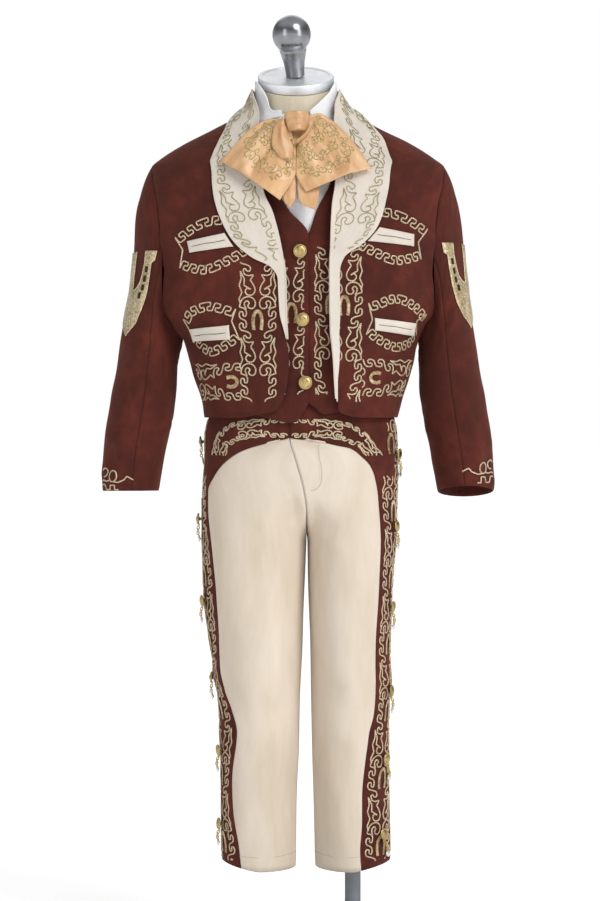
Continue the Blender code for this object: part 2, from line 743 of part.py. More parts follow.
WINGS = {
    "right": (
        table("s x z", (0, -17.5, 840.3), (0.3, -30, 840), (0.55, -44, 834.5), (1, -79.2, 798)),
        table("s x z", (0, -10.5, 826), (0.25, -7.2, 810), (0.6, -7.1, 788), (1, -22.3, 760.2)),
    ),
    "left": (
        table("s x z", (0, 4.6, 843), (0.25, 14, 846), (0.55, 40, 826), (1, 65.5, 791)),
        table("s x z", (0, 0, 828), (0.3, -6.2, 810), (0.65, -6.6, 787), (1, 2.8, 768)),
    ),
}
FOLDS = {
    "right": (
        table("s x z", (0, -18.5, 839), (0.3, -27, 828), (0.65, -29, 812), (1, -21, 797)),
        table("s x z", (0, -17.3, 833), (0.3, -15, 822), (0.65, -9.5, 808), (1, -11, 797)),
    ),
    "left": (
        table("s x z", (0, 9.5, 833), (0.5, 4, 822), (1, -5.5, 813)),
        table("s x z", (0, 5.3, 829), (0.5, -1.5, 820), (1, -6.5, 816)),
    ),
}
TAILS = {
    "right": (
        table("s x z", (0, -14, 822), (0.5, -18, 790), (0.85, -19.5, 765), (1, -14.5, 754)),
        table("s x z", (0, -8, 822), (0.5, -7.6, 790), (0.85, -7.6, 762), (1, -13, 753.6)),
    ),
    "left": (
        table("s x z", (0, -4, 822), (0.5, -4.6, 790), (0.85, -4.5, 765), (1, -1.5, 757)),
        table("s x z", (0, 5, 822), (0.5, 11, 790), (0.85, 15.3, 766), (1, 11.5, 751.5)),
    ),
}


def on_chest(x, z, lift):
    turn = turn_at(COLLAR, x, z)
    surface = layer(COLLAR)
    return surface(turn, z) + lift[..., None] * normals(surface, turn, z)


def satin(name, edges, rows, columns, low, thickness, bulge):
    """A piece of satin between two edges. bulge gives how far its middle stands out, from the knot to the end."""
    s = np.linspace(0, 1, rows)
    first, second = edges
    x = between(read(first, "x", s), read(second, "x", s), columns)
    z = between(read(first, "z", s), read(second, "z", s), columns)
    if x[:, 0].mean() > x[:, -1].mean():
        x, z = x[:, ::-1], z[:, ::-1]
    middle = np.sin(np.linspace(0, math.pi, columns))[None, :]
    near, far, hollow = bulge
    rise = (near + (far - near) * s)[:, None] * middle
    outer = on_chest(x, z, low + thickness + rise)
    inner = on_chest(x, z, low + rise * hollow)
    # Rows run down from the knot.
    return solid(name, outer[::-1], inner[::-1], PEACH)


def bow():
    for word in ("right", "left"):
        satin(f"bow_wing_{word}", WINGS[word], 9, 8, 4.2, SATIN, (2.5, 7, 1))
        satin(f"bow_fold_{word}", FOLDS[word], 7, 5, 12, 1.2, (3, 3, 0))
        satin(f"bow_tail_{word}", TAILS[word], 6, 4, 1.0, 1.4, (1.2, 1.2, 1))
    knot = (
        table("s x z", (0, -17, 844), (0.5, -16.2, 835), (1, -13.4, 826)),
        table("s x z", (0, 4.2, 845), (0.5, 4.6, 835), (1, 2.4, 826)),
    )
    satin("bow_knot", knot, 6, 7, 9.6, 1.6, (5, 5, 0))


# Trousers. A turn runs from the inseam or the centre front, 0, round the outer side, 0.5, to 1 at the back.

CROTCH_Z = 430
HIP_Z = 480
LEG = "z centre half_width half_depth y roundness"
LEGS = {
    -1: table(
        LEG,
        (100, -44.5, 37.6, 42, 3, 2),
        (168, -44.2, 38, 43, 3, 2),
        (218, -43.5, 39.5, 45, 3, 2),
        (268, -44, 41, 48.5, 4, 2),
        (318, -46.2, 45.7, 54, 4, 2),
        (368, -49, 50, 60, 4, 2.15),
        (430, -48.6, 52.2, 68, 3, 2.3),
    ),
    1: table(
        LEG,
        (100, 50, 38, 42, 3, 2),
        (168, 48.8, 38.3, 43, 3, 2),
        (218, 47.8, 38.8, 45, 3, 2),
        (268, 47.5, 39.5, 48.5, 4, 2),
        (318, 47.3, 40, 54, 4, 2),
        (368, 47.3, 41.8, 60, 4, 2.15),
        (430, 49.1, 44.9, 68, 3, 2.3),
    ),
}
CENTRE_FRONT = table("z x", (430, 3.9), (455, 3.8), (479, 1), (513, -8), (531, -13), (560, -14), (588, -14))
BAND_FRONT = {
    # x of the cream front's edge, where the brown yoke and side band begin
    -1: table(
        "z x",
        (100, -60.5),
        (130, -64.4),
        (157, -68.8),
        (190, -70.8),
        (238, -65.7),
        (262, -71),
        (281, -78),
        (315, -83),
        (356, -84.5),
        (416, -89.5),
        (461, -94),
        (480, -93.8),
        (492, -88.7),
        (504, -80.3),
        (516, -65.2),
        (522, -50.5),
        (528, -26.3),
        (530.6, -13.2),
    ),
    1: table(
        "z x",
        (100, 57.5),
        (125, 56.5),
        (151, 58.4),
        (178, 58.6),
        (213, 61.8),
        (239, 65.2),
        (259, 70.3),
        (282, 72.2),
        (332, 72.4),
        (387, 75.2),
        (432, 76.3),
        (474, 74.2),
        (492, 71),
        (504, 66),
        (514, 56.3),
        (521, 46.5),
        (524, 32.9),
        (528, 13.5),
        (529.8, -11.7),
    ),
}
BAND_WIDTH = 56
BUTTON_LINE = 24
LEG_ROWS = np.concatenate(
    [
        [105, 135, 170, 200, 225, 247, 268, 292, 325, 360, 400],
        [430, 436, 446, 462, 480, 492, 503, 512, 519.5, 525, 528.4],
    ]
)
YOKE_ROWS = np.array([531.5, 545, 560, 575, 588])
HEM_SIDE_RISE = 7
HEM_DROP = 3
BUTTON_Z = {-1: (527, 450, 369.5, 291, 220, 146), 1: (515, 444, 363.6, 279, 213, 138)}


def trouser_leg(side):
    """The surface of one half of the trousers. Its turn is negative on the wearer's right."""
    legs = LEGS[side]

    def surface(across, up):
        across, up = np.broadcast_arrays(np.asarray(across, float), np.asarray(up, float))
        share = np.abs(across)
        angle = 2 * math.pi * share
        exponent = 2 / read(legs, "roundness", up)
        x = read(legs, "centre", up) - side * read(legs, "half_width", up) * power(np.cos(angle), exponent)
        y = read(legs, "y", up) - read(legs, "half_depth", up) * power(np.sin(angle), exponent)
        leg = np.stack([x, y, up], -1)
        first = turn_at(HIPS, read(CENTRE_FRONT, "x", up) + side * SEAM / 2, up)
        last = side * (180 - 0.12)
        # Low on the hips a turn lies above the same turn of the leg. At the waist it is even again.
        spread = share - 0.125 * np.sin(angle) * (1 - ease(up, HIP_Z - 10, HIP_Z + 50))
        hips = ring(HIPS, first + (last - first) * spread, up)
        # At the seat seams the leg turns out from under the crotch at once, and at the sides it changes evenly.
        rise = np.clip((up - CROTCH_Z) / (HIP_Z - CROTCH_Z), 0, 1)
        at_seam = np.exp(-((np.minimum(share, 1 - share) / 0.1) ** 2))
        change = rise**2 * (3 - 2 * rise)
        change += at_seam * (1 - (1 - rise) ** 2 - change)
        return leg + (hips - leg) * change[..., None]

    return surface


def lengths(side, z):
    """Turns of one half of the trousers, and the length round it up to each, for each height."""
    turn = np.linspace(0, 1, 81)
    around = trouser_leg(side)(side * turn[None, :], np.asarray(z, float)[:, None])
    length = np.cumsum(np.linalg.norm(np.diff(around, axis=1), axis=-1), axis=1)
    return turn, np.concatenate([0 * length[:, :1], length], axis=1)


def further(side, z, start, distance):
    """The turns that lie a distance further round than the given ones."""
    turn, length = lengths(side, z)
    at = [np.interp(s, turn, row) + distance for s, row in zip(start, length)]
    return np.array([np.interp(a, row, turn) for a, row in zip(at, length)])


def turn_reaching(side, x, z):
    """The turn, up to the outer side, at which the front of the trousers reaches x."""
    surface = trouser_leg(side)
    low, high = np.zeros_like(z), np.full_like(z, 0.5)
    for _ in range(30):
        middle = (low + high) / 2
        short = side * (surface(side * middle, z)[..., 0] - x) < 0
        low, high = np.where(short, middle, low), np.where(short, high, middle)
    return middle


def band_edges(side, z):
    """Turns of the side band's front and back edges. Above the hip both run out, over the yoke, to the centres."""
    z = np.asarray(z, float)
    low = np.minimum(z, HIP_Z)
    front = turn_reaching(side, read(BAND_FRONT[side], "x", z), z)
    front = np.where(z > BAND_FRONT[side]["z"].max(), 0, front)
    at_hip = turn_reaching(side, read(BAND_FRONT[side], "x", low), low)
    back = further(side, low, at_hip, BAND_WIDTH)
    return front, np.where(z > HIP_Z, 1 - (1 - back) * front / at_hip, back)


def hemmed(side, across, up):
    """Heights with the hem's slant: the outer side of the hem is higher than its front."""
    rise = HEM_SIDE_RISE * np.clip(np.cos(2 * math.pi * (np.abs(across) - 0.5)), 0, 1) - HEM_DROP
    return up + rise * np.clip((LEG_ROWS[1] - up) / (LEG_ROWS[1] - LEG_ROWS[0]), 0, 1)


def trousers():
    for word, side in (("right", -1), ("left", 1)):
        surface = trouser_leg(side)
        z = LEG_ROWS
        gap = SEAM / 2 / lengths(side, z)[1][:, -1]
        front, back = band_edges(side, z + SEAM / 2)
        for name, start, end in (("front", 0 * z + gap, front - gap), ("back", back + gap, 1 - gap)):
            across = side * between(start, end, 6)
            up = hemmed(side, across, np.repeat(z[:, None], 6, 1))
            if name == "front":
                # The last row slants up to the centre front, along the yoke's corner.
                up[-1] = np.linspace(YOKE_ROWS[0] - SEAM, z[-1], 6)
            cloth(f"trouser_{name}_{word}", surface, across, up, SUIT_CLOTH, CREAM)
        z = np.concatenate([LEG_ROWS, YOKE_ROWS])
        front, back = band_edges(side, z - SEAM / 2)
        gap = SEAM / 2 / lengths(side, z)[1][:, -1]
        across = side * between(front + gap, back - gap, 8)
        up = hemmed(side, across, np.repeat(z[:, None], 8, 1))
        cloth(f"trouser_band_{word}", surface, across, up, SUIT_CLOTH, BROWN)


def side_buttons():
    profile = ((1.6, 0), (1.6, 3), (5.8, 3.2), (6.1, 4.1), (3.4, 6.4))
    for word, side in (("right", -1), ("left", 1)):
        z = np.array(BUTTON_Z[side], float)
        line = np.minimum(z, HIP_Z - 6)
        turn = side * further(side, line, band_edges(side, line)[0], BUTTON_LINE)
        surface = trouser_leg(side)
        points, normal = surface(turn, z), normals(surface, turn, z)
        for number, (point, out) in enumerate(zip(points, normal), 1):
            turned(f"side_button_{word}_{number}", profile, point + 0.6 * out, out, 8, GOLD)


# Dress form and stand

FORM_CENTRE_X = -7
CAP_TILT = math.radians(23)
CAP_TOP = np.array([FORM_CENTRE_X, -2, 891.5])
CAP_RADIUS = 38
CAP_HEIGHT = 10
FINIAL_LEAN = np.array([-0.09, 0, 0])
POLE_X, POLE_Y, POLE_RADIUS = 50, 5, 8
BASE_RADIUS, BASE_HEIGHT = 150, 9
CLEAR = 0.3
FORM_ROWS = (492, 520, 560, 620, 680, 740, 778, 793, 805, 818, 832, 845, 858)


def form():
    up = np.array([0, -math.sin(CAP_TILT), math.cos(CAP_TILT)])
    sides = 22
    turn = np.arange(sides) * 360 / sides
    rows = [ring(FORM, turn, np.full(sides, float(z))) for z in FORM_ROWS]
    neck = ring(FORM, turn, np.full(sides, 885.0))
    plane = CAP_TOP - (CAP_HEIGHT + CLEAR) * up
    neck[:, 2] = plane[2] + (neck[:, 1] - plane[1]) * math.tan(CAP_TILT)
    rows.append(neck)
    points = np.concatenate(rows)
    faces = []
    for row in range(len(rows) - 1):
        for i in range(sides):
            a, b = row * sides + i, row * sides + (i + 1) % sides
            faces.append((a, b, b + sides, a + sides))
    faces.append(tuple(range(sides))[::-1])
    faces.append(tuple(range((len(rows) - 1) * sides, len(rows) * sides)))
    add("form_body", points, faces, LINEN)
    foot = CAP_TOP - CAP_HEIGHT * up
    cap = ((37, 0), (CAP_RADIUS, 0.8), (CAP_RADIUS, 9), (37, CAP_HEIGHT), (34, CAP_HEIGHT), (33, 9.2))
    turned("form_cap", cap, foot, up, 28, STEEL)
    ball = [(19 * math.cos(a), 41.5 + 19 * math.sin(a)) for a in np.radians((-45, -25, -5, 15, 35, 55, 72, 84))]
    stem = [(9.3, 0), (9.5, 5), (10.4, 13), (12, 20), (13.4, 26)]
    turned("form_finial", stem + ball, CAP_TOP + (-0.6, 0, 0) + 0.4 * up, up + FINIAL_LEAN, 18, STEEL)
    profile = ((POLE_RADIUS, BASE_HEIGHT + CLEAR), (POLE_RADIUS, FORM_ROWS[0] - CLEAR))
    turned("stand_pole", profile, (POLE_X, POLE_Y, 0), (0, 0, 1), 16, STEEL)
    base = ((BASE_RADIUS, 0), (BASE_RADIUS, 5), (BASE_RADIUS - 4, BASE_HEIGHT))
    turned("stand_base", base, (0, POLE_Y, 0), (0, 0, 1), 36, STEEL)


def clear():
    for made in list(bpy.data.objects):
        bpy.data.objects.remove(made, do_unlink=True)


def main():
    clear()
    jacket_body()
    sleeves()
    sleeve_horseshoes()
    collars()
    welts()
    vest()
    shirt()
    bow()
    trousers()
    side_buttons()
    form()


if __name__ == "__main__":
    main()
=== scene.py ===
"""Looks of a child's charro suit on a dress form: short jacket, waistcoat, shirt, satin bow and two-tone trousers.

Tables are in millimetres and the scene in metres. +X is the wearer's left and the front faces -Y. Each cloth is a
fine shell on the form of its solid, with creases, and every cord and stitch is worked on that same surface.
"""

import math

import bpy
import numpy as np
from mathutils import Matrix


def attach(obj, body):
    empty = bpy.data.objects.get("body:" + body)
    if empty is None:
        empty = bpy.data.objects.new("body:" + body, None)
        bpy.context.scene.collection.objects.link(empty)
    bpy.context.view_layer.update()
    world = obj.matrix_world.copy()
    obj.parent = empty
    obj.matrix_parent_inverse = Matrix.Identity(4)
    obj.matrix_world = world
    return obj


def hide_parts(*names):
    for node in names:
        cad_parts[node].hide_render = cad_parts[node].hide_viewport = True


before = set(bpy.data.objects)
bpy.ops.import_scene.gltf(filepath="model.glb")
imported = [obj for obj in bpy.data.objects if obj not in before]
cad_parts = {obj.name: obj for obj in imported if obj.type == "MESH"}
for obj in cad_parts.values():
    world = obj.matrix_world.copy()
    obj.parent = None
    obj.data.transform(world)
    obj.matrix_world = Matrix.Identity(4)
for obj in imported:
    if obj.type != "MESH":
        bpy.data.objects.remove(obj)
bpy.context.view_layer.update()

MM = 0.001
SEAM = 0.34  # between the edges of two pieces that are sewn together
EPS = 0.02  # step of the differences that give a surface's normals
SHIRT_CLOTH = 1.0
VEST_CLOTH = 1.2
SUIT_CLOTH = 1.4
SATIN = 1.6
SIDES = (("right", -1), ("left", 1))  # the wearer's, and the way that each lies along X


def table(names, text):
    """Columns by name from rows of numbers, a row to a line or between commas. The others are read by the first."""
    rows = [row.split() for row in text.replace("\n", ",").split(",") if row.strip()]
    return dict(zip(names.split(), np.array(rows, float).T))


def smooth(key, value, at):
    """A curve through the points that never overshoots them, level beyond both ends."""
    order = np.argsort(key)
    x, y = key[order], value[order]
    step = np.diff(x)
    slope = np.diff(y) / step
    same = slope[1:] * slope[:-1] > 0
    mean = np.where(same, slope[1:] + slope[:-1], 1.0)
    inner = np.where(same, 2 * slope[1:] * slope[:-1] / mean, 0.0)
    tangent = np.concatenate([slope[:1], inner, slope[-1:]])
    at = np.clip(at, x[0], x[-1])
    i = np.clip(np.searchsorted(x, at) - 1, 0, len(step) - 1)
    t = (at - x[i]) / step[i]
    return (
        y[i] * (1 + 2 * t) * (1 - t) ** 2
        + tangent[i] * step[i] * t * (1 - t) ** 2
        + y[i + 1] * t * t * (3 - 2 * t)
        + tangent[i + 1] * step[i] * t * t * (t - 1)
    )


def read(tab, name, at):
    return smooth(tab[next(iter(tab))], tab[name], at)


def ease(value, low, high):
    """0 at low, 1 at high and smooth between."""
    t = np.clip((value - low) / (high - low), 0, 1)
    return t * t * (3 - 2 * t)


def power(value, exponent):
    return np.sign(value) * np.abs(value) ** exponent


# The layers round the trunk, each a stack of rounded rings.
RING = "z half_width front back centre roundness"

FORM = table(RING, """
    492 84 60 65 -1 2.3
    530 82 58.5 62 -1 2.3
    562 78 57 54.5 -1 2.2
    600 79 59 55 -1 2.2
    640 87 64 60 -3 2.3
    700 93 68 64 -5 2.3
    760 99 62 62 -6 2.3
    800 90 48.5 51.5 -7 2.2
    825 68 42.5 44.5 -7 2.0
    838 52 39 41 -7 2.0
    848 41 38 39 -7 2.0
    860 37.5 37 37 -7 2.0
    900 36 36 36 -7 2.0
""")

SHIRT = table(RING, """
    600 86 65 61 -1 2.2
    640 91 68 64 -3 2.3
    700 97 72 68 -5 2.3
    760 103 66 66 -6 2.3
    800 98 54 57 -7 2.2
    825 73 47 49 -7 2.0
    838 55 43.5 45.5 -7 2.0
    849 44.5 42 42.5 -7 2.0
""")

VEST = table(RING, """
    545 91 71.5 66 -1 2.3
    565 91.5 71.5 66 -1 2.3
    600 92 71.5 65 -1 2.3
    640 96 73 67 -3 2.3
    700 102 76 71 -5 2.3
    760 108 70 69.5 -6 2.3
    800 103 58 60.5 -7 2.2
    825 78 51 53 -7 2.0
    838 60 47.5 49.5 -7 2.0
""")

JACKET = table(RING, """
    551 96.5 78 70 -2 2.3
    568 100 78.5 71 -1 2.3
    598 110 80.5 73 -1 2.3
    628 117 82.5 75 -2.5 2.35
    640 126 83 75.5 -3.5 2.4
    653 137 83.2 75.5 -4 2.4
    671 143.5 83.2 75.5 -4.5 2.4
    700 147 82.5 75 -5 2.4
    740 150 79.5 73.5 -5 2.4
    775 150.5 73 69.5 -5 2.35
    800 146 65 63.5 -5 2.2
    808 137 62.5 61.5 -5.5 2.1
    823 113 58 58.5 -5.5 2.0
    838 83 53.5 55 -6 2.0
    850 61 49.5 51 -5 2.0
    858 50.5 47.5 48.5 -6 2.0
""")

COLLAR = table(RING, """
    551 99.1 80.8 72.6 -2 2.3
    568 102.6 81.3 73.6 -1 2.3
    598 112.6 83.3 75.6 -1 2.3
    628 119.6 85.3 77.6 -2.5 2.35
    653 139.6 86 78.1 -4 2.4
    700 149.6 85.3 77.6 -5 2.4
    740 152.6 82.3 76.1 -5 2.4
    775 153.1 76 72.1 -5 2.35
    800 148.6 68 66.1 -5 2.2
    808 140 65.4 64.1 -5.5 2.1
    823 117 61 61.5 -5.5 2.0
    838 87.6 56.5 58.5 -6 2.0
    850 67 53.2 55 -5 2.0
    861 53.5 49.5 50.5 -6 2.0
    870 47.5 46.8 47.2 -6.7 2.0
    878 43.8 44.6 44.6 -7 2.0
""")

SHIRT_COLLAR = table(RING, """
    836 60 50.5 51.5 -7 2.0
    850 47.8 46.2 46.6 -7 2.0
    862 43.4 43.3 43.6 -7 2.0
    874 41.6 41.6 41.6 -7 2.0
    888 40.6 40.6 40.6 -7 2.0
""")

STAND = table(RING, "850.5 42.4 40.9 41.3 -7 2.0, 860 40.2 39.8 39.8 -7 2.0, 872 39.3 39.3 39.3 -7 2.0")

HIPS = table(RING, """
    430 97.4 69 74 -3.5 2.3
    463 97.4 70 77 -3 2.3
    505 96.8 70 77 -2 2.3
    538 95.5 68.5 72 -1.5 2.3
    553 92.2 67.5 67 -1.5 2.3
    575 87 66 61.5 -1 2.3
    588 84.5 65.5 60 -1 2.3
""")


def ring(shape, turn, z):
    """A point of a layer. A turn of 0 is the front, 90 the wearer's left side and 180 the back."""
    turn, z = np.broadcast_arrays(np.asarray(turn, float), np.asarray(z, float))
    angle = np.radians(turn)
    exponent = 2 / read(shape, "roundness", z)
    deep = np.where(np.cos(angle) > 0, read(shape, "front", z), read(shape, "back", z))
    x = read(shape, "centre", z) + read(shape, "half_width", z) * power(np.sin(angle), exponent)
    y = -deep * power(np.cos(angle), exponent)
    return np.stack([x, y, z], -1)


def turn_at(shape, x, z):
    """The turn at which the front of a layer reaches x."""
    side = (x - read(shape, "centre", z)) / read(shape, "half_width", z)
    sine = power(np.clip(side, -1, 1), read(shape, "roundness", z) / 2)
    return np.degrees(np.arcsin(sine))


def layer(shape):
    return lambda turn, z: ring(shape, turn, z)


# Jacket

SHOULDER_Z = 800
UNDERARM_Z = 628
ARMHOLE_STEPS = 10
ARMHOLE_HALF_DEPTH = 44
ARMHOLE_MIDDLE_Z = (SHOULDER_Z + UNDERARM_Z) / 2
ARMHOLE_Z = ARMHOLE_MIDDLE_Z - (SHOULDER_Z - UNDERARM_Z) / 2 * np.cos(np.linspace(0, math.pi, ARMHOLE_STEPS + 1))
JACKET_ROWS = np.concatenate([[551, 552.8, 556, 561, 570, 584, 605], ARMHOLE_Z, [811, 824, 837, 847, 858]])

# Where each front ends beside the opening. The hem corner is round, and higher up the edge lies under the
# collar's fold.
FRONT_EDGE_RIGHT = table("z x", """
    551 -62, 552.5 -52, 554 -43, 556.7 -30, 560.5 -24.3, 566 -20.8, 573 -18.3, 592 -14.6, 609 -13.6, 620 -15.6
    653 -18, 690 -19.5, 710 -22.5, 730 -26.5, 750 -32, 765 -39.5, 842 -45.5, 858 -47
""")
FRONT_EDGE_LEFT = table("z x", """
    551 56, 552.5 46, 554 40.5, 556.7 35.5, 560.5 34.2, 566 34, 573 34, 592 32.5, 620 30, 656 28, 703 28
    730 28.8, 757 30, 774 33, 840 33, 858 33.5
""")


def armhole_turn(z, half="front"):
    """Degrees from the middle of the jacket's front or back half to the armhole's edge, 90 where there is none."""
    share = np.clip((z - ARMHOLE_MIDDLE_Z) / (SHOULDER_Z - ARMHOLE_MIDDLE_Z), -1, 1)
    depth = ARMHOLE_HALF_DEPTH * np.sqrt(1 - share**2)
    cosine = power(depth / read(JACKET, half, z), read(JACKET, "roundness", z) / 2)
    return np.degrees(np.arccos(np.clip(cosine, 0, 1)))


# Sleeves: from the armhole down to the cuff. A turn of 0 is the outer side, 90 the front, 180 the side that faces
# the body. s runs down the sleeve: 0 the armhole, 1 the end of its head and 2 the cuff.

SLEEVE = table("z centre half_width half_depth y", """
    600 151 30 46 3
    572 154.5 32.4 43.5 1
    544 159 32.4 40.5 -1
    511 164 30.6 37 -4
    478 167 28 34 -6
""")
SLEEVE_CENTRE = -5
SLEEVE_SEAM_TURN = 98
CUFF = {-1: (1.0, 0.0), 1: (6.0, 7.0)}  # how far the cuff's front rises, and its back drops


def armhole_point(side, turn):
    """The armhole's own loop, as a round line in the jacket's side."""
    z = ARMHOLE_MIDDLE_Z + (SHOULDER_Z - ARMHOLE_MIDDLE_Z) * np.cos(turn)
    y = -ARMHOLE_HALF_DEPTH * np.sin(turn)
    deep = np.where(y < 0, read(JACKET, "front", z), read(JACKET, "back", z))
    roundness = read(JACKET, "roundness", z)
    reach = (1 - np.abs(y / deep) ** roundness) ** (1 / roundness)
    return np.stack([read(JACKET, "centre", z) + side * read(JACKET, "half_width", z) * reach, y, z], -1)


def sleeve_points(side, turn, s):
    """Points of the whole sleeve, with its folds still to come."""
    outward = np.array([side, 0, 0])

    def low(z):
        wide, deep = read(SLEEVE, "half_width", z), read(SLEEVE, "half_depth", z)
        x = SLEEVE_CENTRE + side * (read(SLEEVE, "centre", z) + wide * np.cos(turn))
        return np.stack([x, read(SLEEVE, "y", z) - deep * np.sin(turn), z + 0 * turn], -1)

    foot = low(SLEEVE["z"].max())
    start = armhole_point(side, turn) + SEAM * outward
    reach = np.linalg.norm(foot - start, axis=-1, keepdims=True)
    above = 0.5 + 0.5 * np.cos(turn)[..., None]
    away = start + reach * (0.05 + 0.03 * above) * outward - reach * 0.25 * np.array([0, 0, 1])
    toward = foot + reach * (0.3 * np.array([0, 0, 1]) - 0.04 * outward)
    v = np.clip(s, 0, 1)[..., None]
    head = (1 - v) ** 3 * start + 3 * v * (1 - v) ** 2 * away + 3 * v * v * (1 - v) * toward + v**3 * foot
    head = head + 6 * (1 - (1 - v) ** 8) * (1 - v) * above * outward
    top, end = SLEEVE["z"].max(), SLEEVE["z"].min()
    down = low(top + (end - top) * np.clip(s - 1, 0, 1))
    rise, drop = CUFF[side]
    ahead = np.sin(turn)
    down[..., 2] += ease(s, 1.7, 2) * np.where(ahead > 0, rise * ahead, drop * ahead)
    return np.where(s[..., None] < 1, head, down)


# A horseshoe on each sleeve, its two legs from their bars down to a point. The table gives the front half, and the
# back half mirrors it about HORSESHOE_AXIS. Turns are the right sleeve's, and SHIFT takes them to the left one.
HORSESHOE = table("s outer_turn outer_z inner_turn inner_z", """
    0 83 714.5 59.5 715
    0.1 84 704.5 60.5 704.5
    0.12 77 704 61 704
    0.3 78 690 58.5 692
    0.5 77.5 674 56 683.5
    0.7 72.5 656 51 679
    0.85 62 643 46 677
    1 41 632 41 676.5
""")
HORSESHOE_AXIS = 41
HORSESHOE_SHIFT = {-1: (0, 0), 1: (-9, 8)}


# The shawl collar, from the centre back over the shoulder and down the front edge. Each row gives a point of the
# fold and the point of the outer edge beside it. Place 2 is the back, 1 the shoulder line and 0 the front.
COLLAR_ROW = "s fold_x fold_z outer_x outer_z place"
COLLAR_RIGHT = table(COLLAR_ROW, """
    0 -7 874 -7 826 2
    1 -40 876 -58 831 2
    2 0 878 0 850 1
    3 -48.5 867 -77 835.5 0
    4 -43.5 842 -88 811 0
    5 -41 800 -89 787 0
    6 -37.7 768 -86.6 764 0
    7 -30 750.6 -79 741 0
    8 -24.2 730 -68 722 0
    9 -20.4 712 -50 706 0
    10 -18 697 -31 696 0
    11 -17 682 -24.5 684 0
    12 -16.5 655 -23 655 0
    13 -15.5 627 -17 628 0
""")
COLLAR_LEFT = table(COLLAR_ROW, """
    0 -7 874 -7 826 2
    1 26 876 44 831 2
    2 0 878 0 850 1
    3 33.5 866 71 837 0
    4 30.2 842 84 811 0
    5 31 800 85 790 0
    6 30.8 774 82 768 0
    7 28 755 77.5 749 0
    8 27 737 71 734 0
    9 26.5 720 58 719.5 0
    10 26 706 40 706 0
    11 26 690 35.6 692 0
    12 26 656 35.7 656 0
    13 28.4 620.5 35.7 617 0
    14 30.8 592 34.2 592 0
    15 32.3 570 33.8 567 0
""")


def collar_edge(rows, edge, side):
    """Turn and height of one edge of the collar at each row."""
    x, z, place = rows[f"{edge}_x"], rows[f"{edge}_z"], rows["place"]
    front = turn_at(COLLAR, x, z)
    back = side * 180 - front
    turn = np.where(place == 2, back, np.where(place == 1, side * 90, front))
    turn[0] = side * (180 - 0.2)
    return turn, z


# Pocket welts: the corners of each, outer end first.
WELTS = {
    "welt_upper_right": ((-112.5, 722.5), (-110, 711.5), (-76, 729.6), (-67.5, 716.6)),
    "welt_upper_left": ((107.6, 729.5), (107.5, 718), (74, 735.4), (62.5, 722)),
    "welt_lower_right": ((-110.5, 637.7), (-107, 626), (-71.6, 640.7), (-70.6, 627)),
    "welt_lower_left": ((109.6, 643.9), (108.6, 631.7), (69.5, 647.6), (69.5, 636)),
}


# Waistcoat

VEST_ARMHOLE = table("z turn", "655 90, 668 74, 690 63, 725 57, 760 57, 785 64, 803 80, 812 90")
VEST_ROWS = np.array([590, 615, 640, 655, 668, 690, 710, 728.5, 745, 765, 783, 798, 812, 825, 838])
VEST_FRONTS = {
    # x of the front edge, then of the V neck, and the lower edge's height by x
    "right": (
        table("z x", "546 5, 728.5 5, 752 -13.5, 765 -22, 790 -35, 838 -52"),
        table("x z", "-92 574, -60 559, -40 552.4, -8.8 546, 5.3 565"),
    ),
    "left": (
        table("z x", "546 -8, 715 -8, 728.5 4.8, 753 13.4, 771 23, 790 30, 838 40"),
        table("x z", "-8 569, 8.6 563.6, 20 554.5, 33 557, 60 562, 92 574"),
    ),
}
VEST_LAP = 2.8  # how far the upper front stands over the lower one where they lap
VEST_BUTTONS = ((-3, 712), (-0.6, 646), (2.3, 585))


def lap(x):
    return VEST_LAP * ease(x, -36, -12)


def vest_surface(side):
    def surface(turn, z):
        points = ring(VEST, turn, z)
        if side < 0:
            points[..., 1] -= lap(points[..., 0])
        return points

    return surface


def hem_rows(rows, foot):
    """Heights of a panel whose lower edge isn't level: foot gives it, and the first rows ease into the level ones."""
    first = foot[None, :]
    return np.concatenate([first, first + 0.5 * (rows[0] - first), np.repeat(rows[:, None], len(foot), 1)])


# Shirt

SHIRT_ROWS = np.array([640, 680, 720, 755, 780, 797, 811, 825, 837, 849])
SHIRT_ARMHOLE = table("z turn", "600 62, 785 60, 812 89.8, 849 89.8")
# the height of each leaf's fold and of the lower edge, by turn from the front
LEAF = table("turn right left foot", """
    17 850 851.5 846.5
    26 851 857 844.5
    34 855 862 842.5
    42 866 866.5 841
    52 874.5 872 840
    64 881 880 845
    78 885 885 858
    95 885.5 885.5 861
    130 885 885 861
    180 884 884 861
""")
STAND_TOP = table("turn z", "20 853, 38 854, 60 866, 85 871, 180 871")


# Satin bow, on the collar's layer. Outlines are x and z of two edges from the knot outwards.

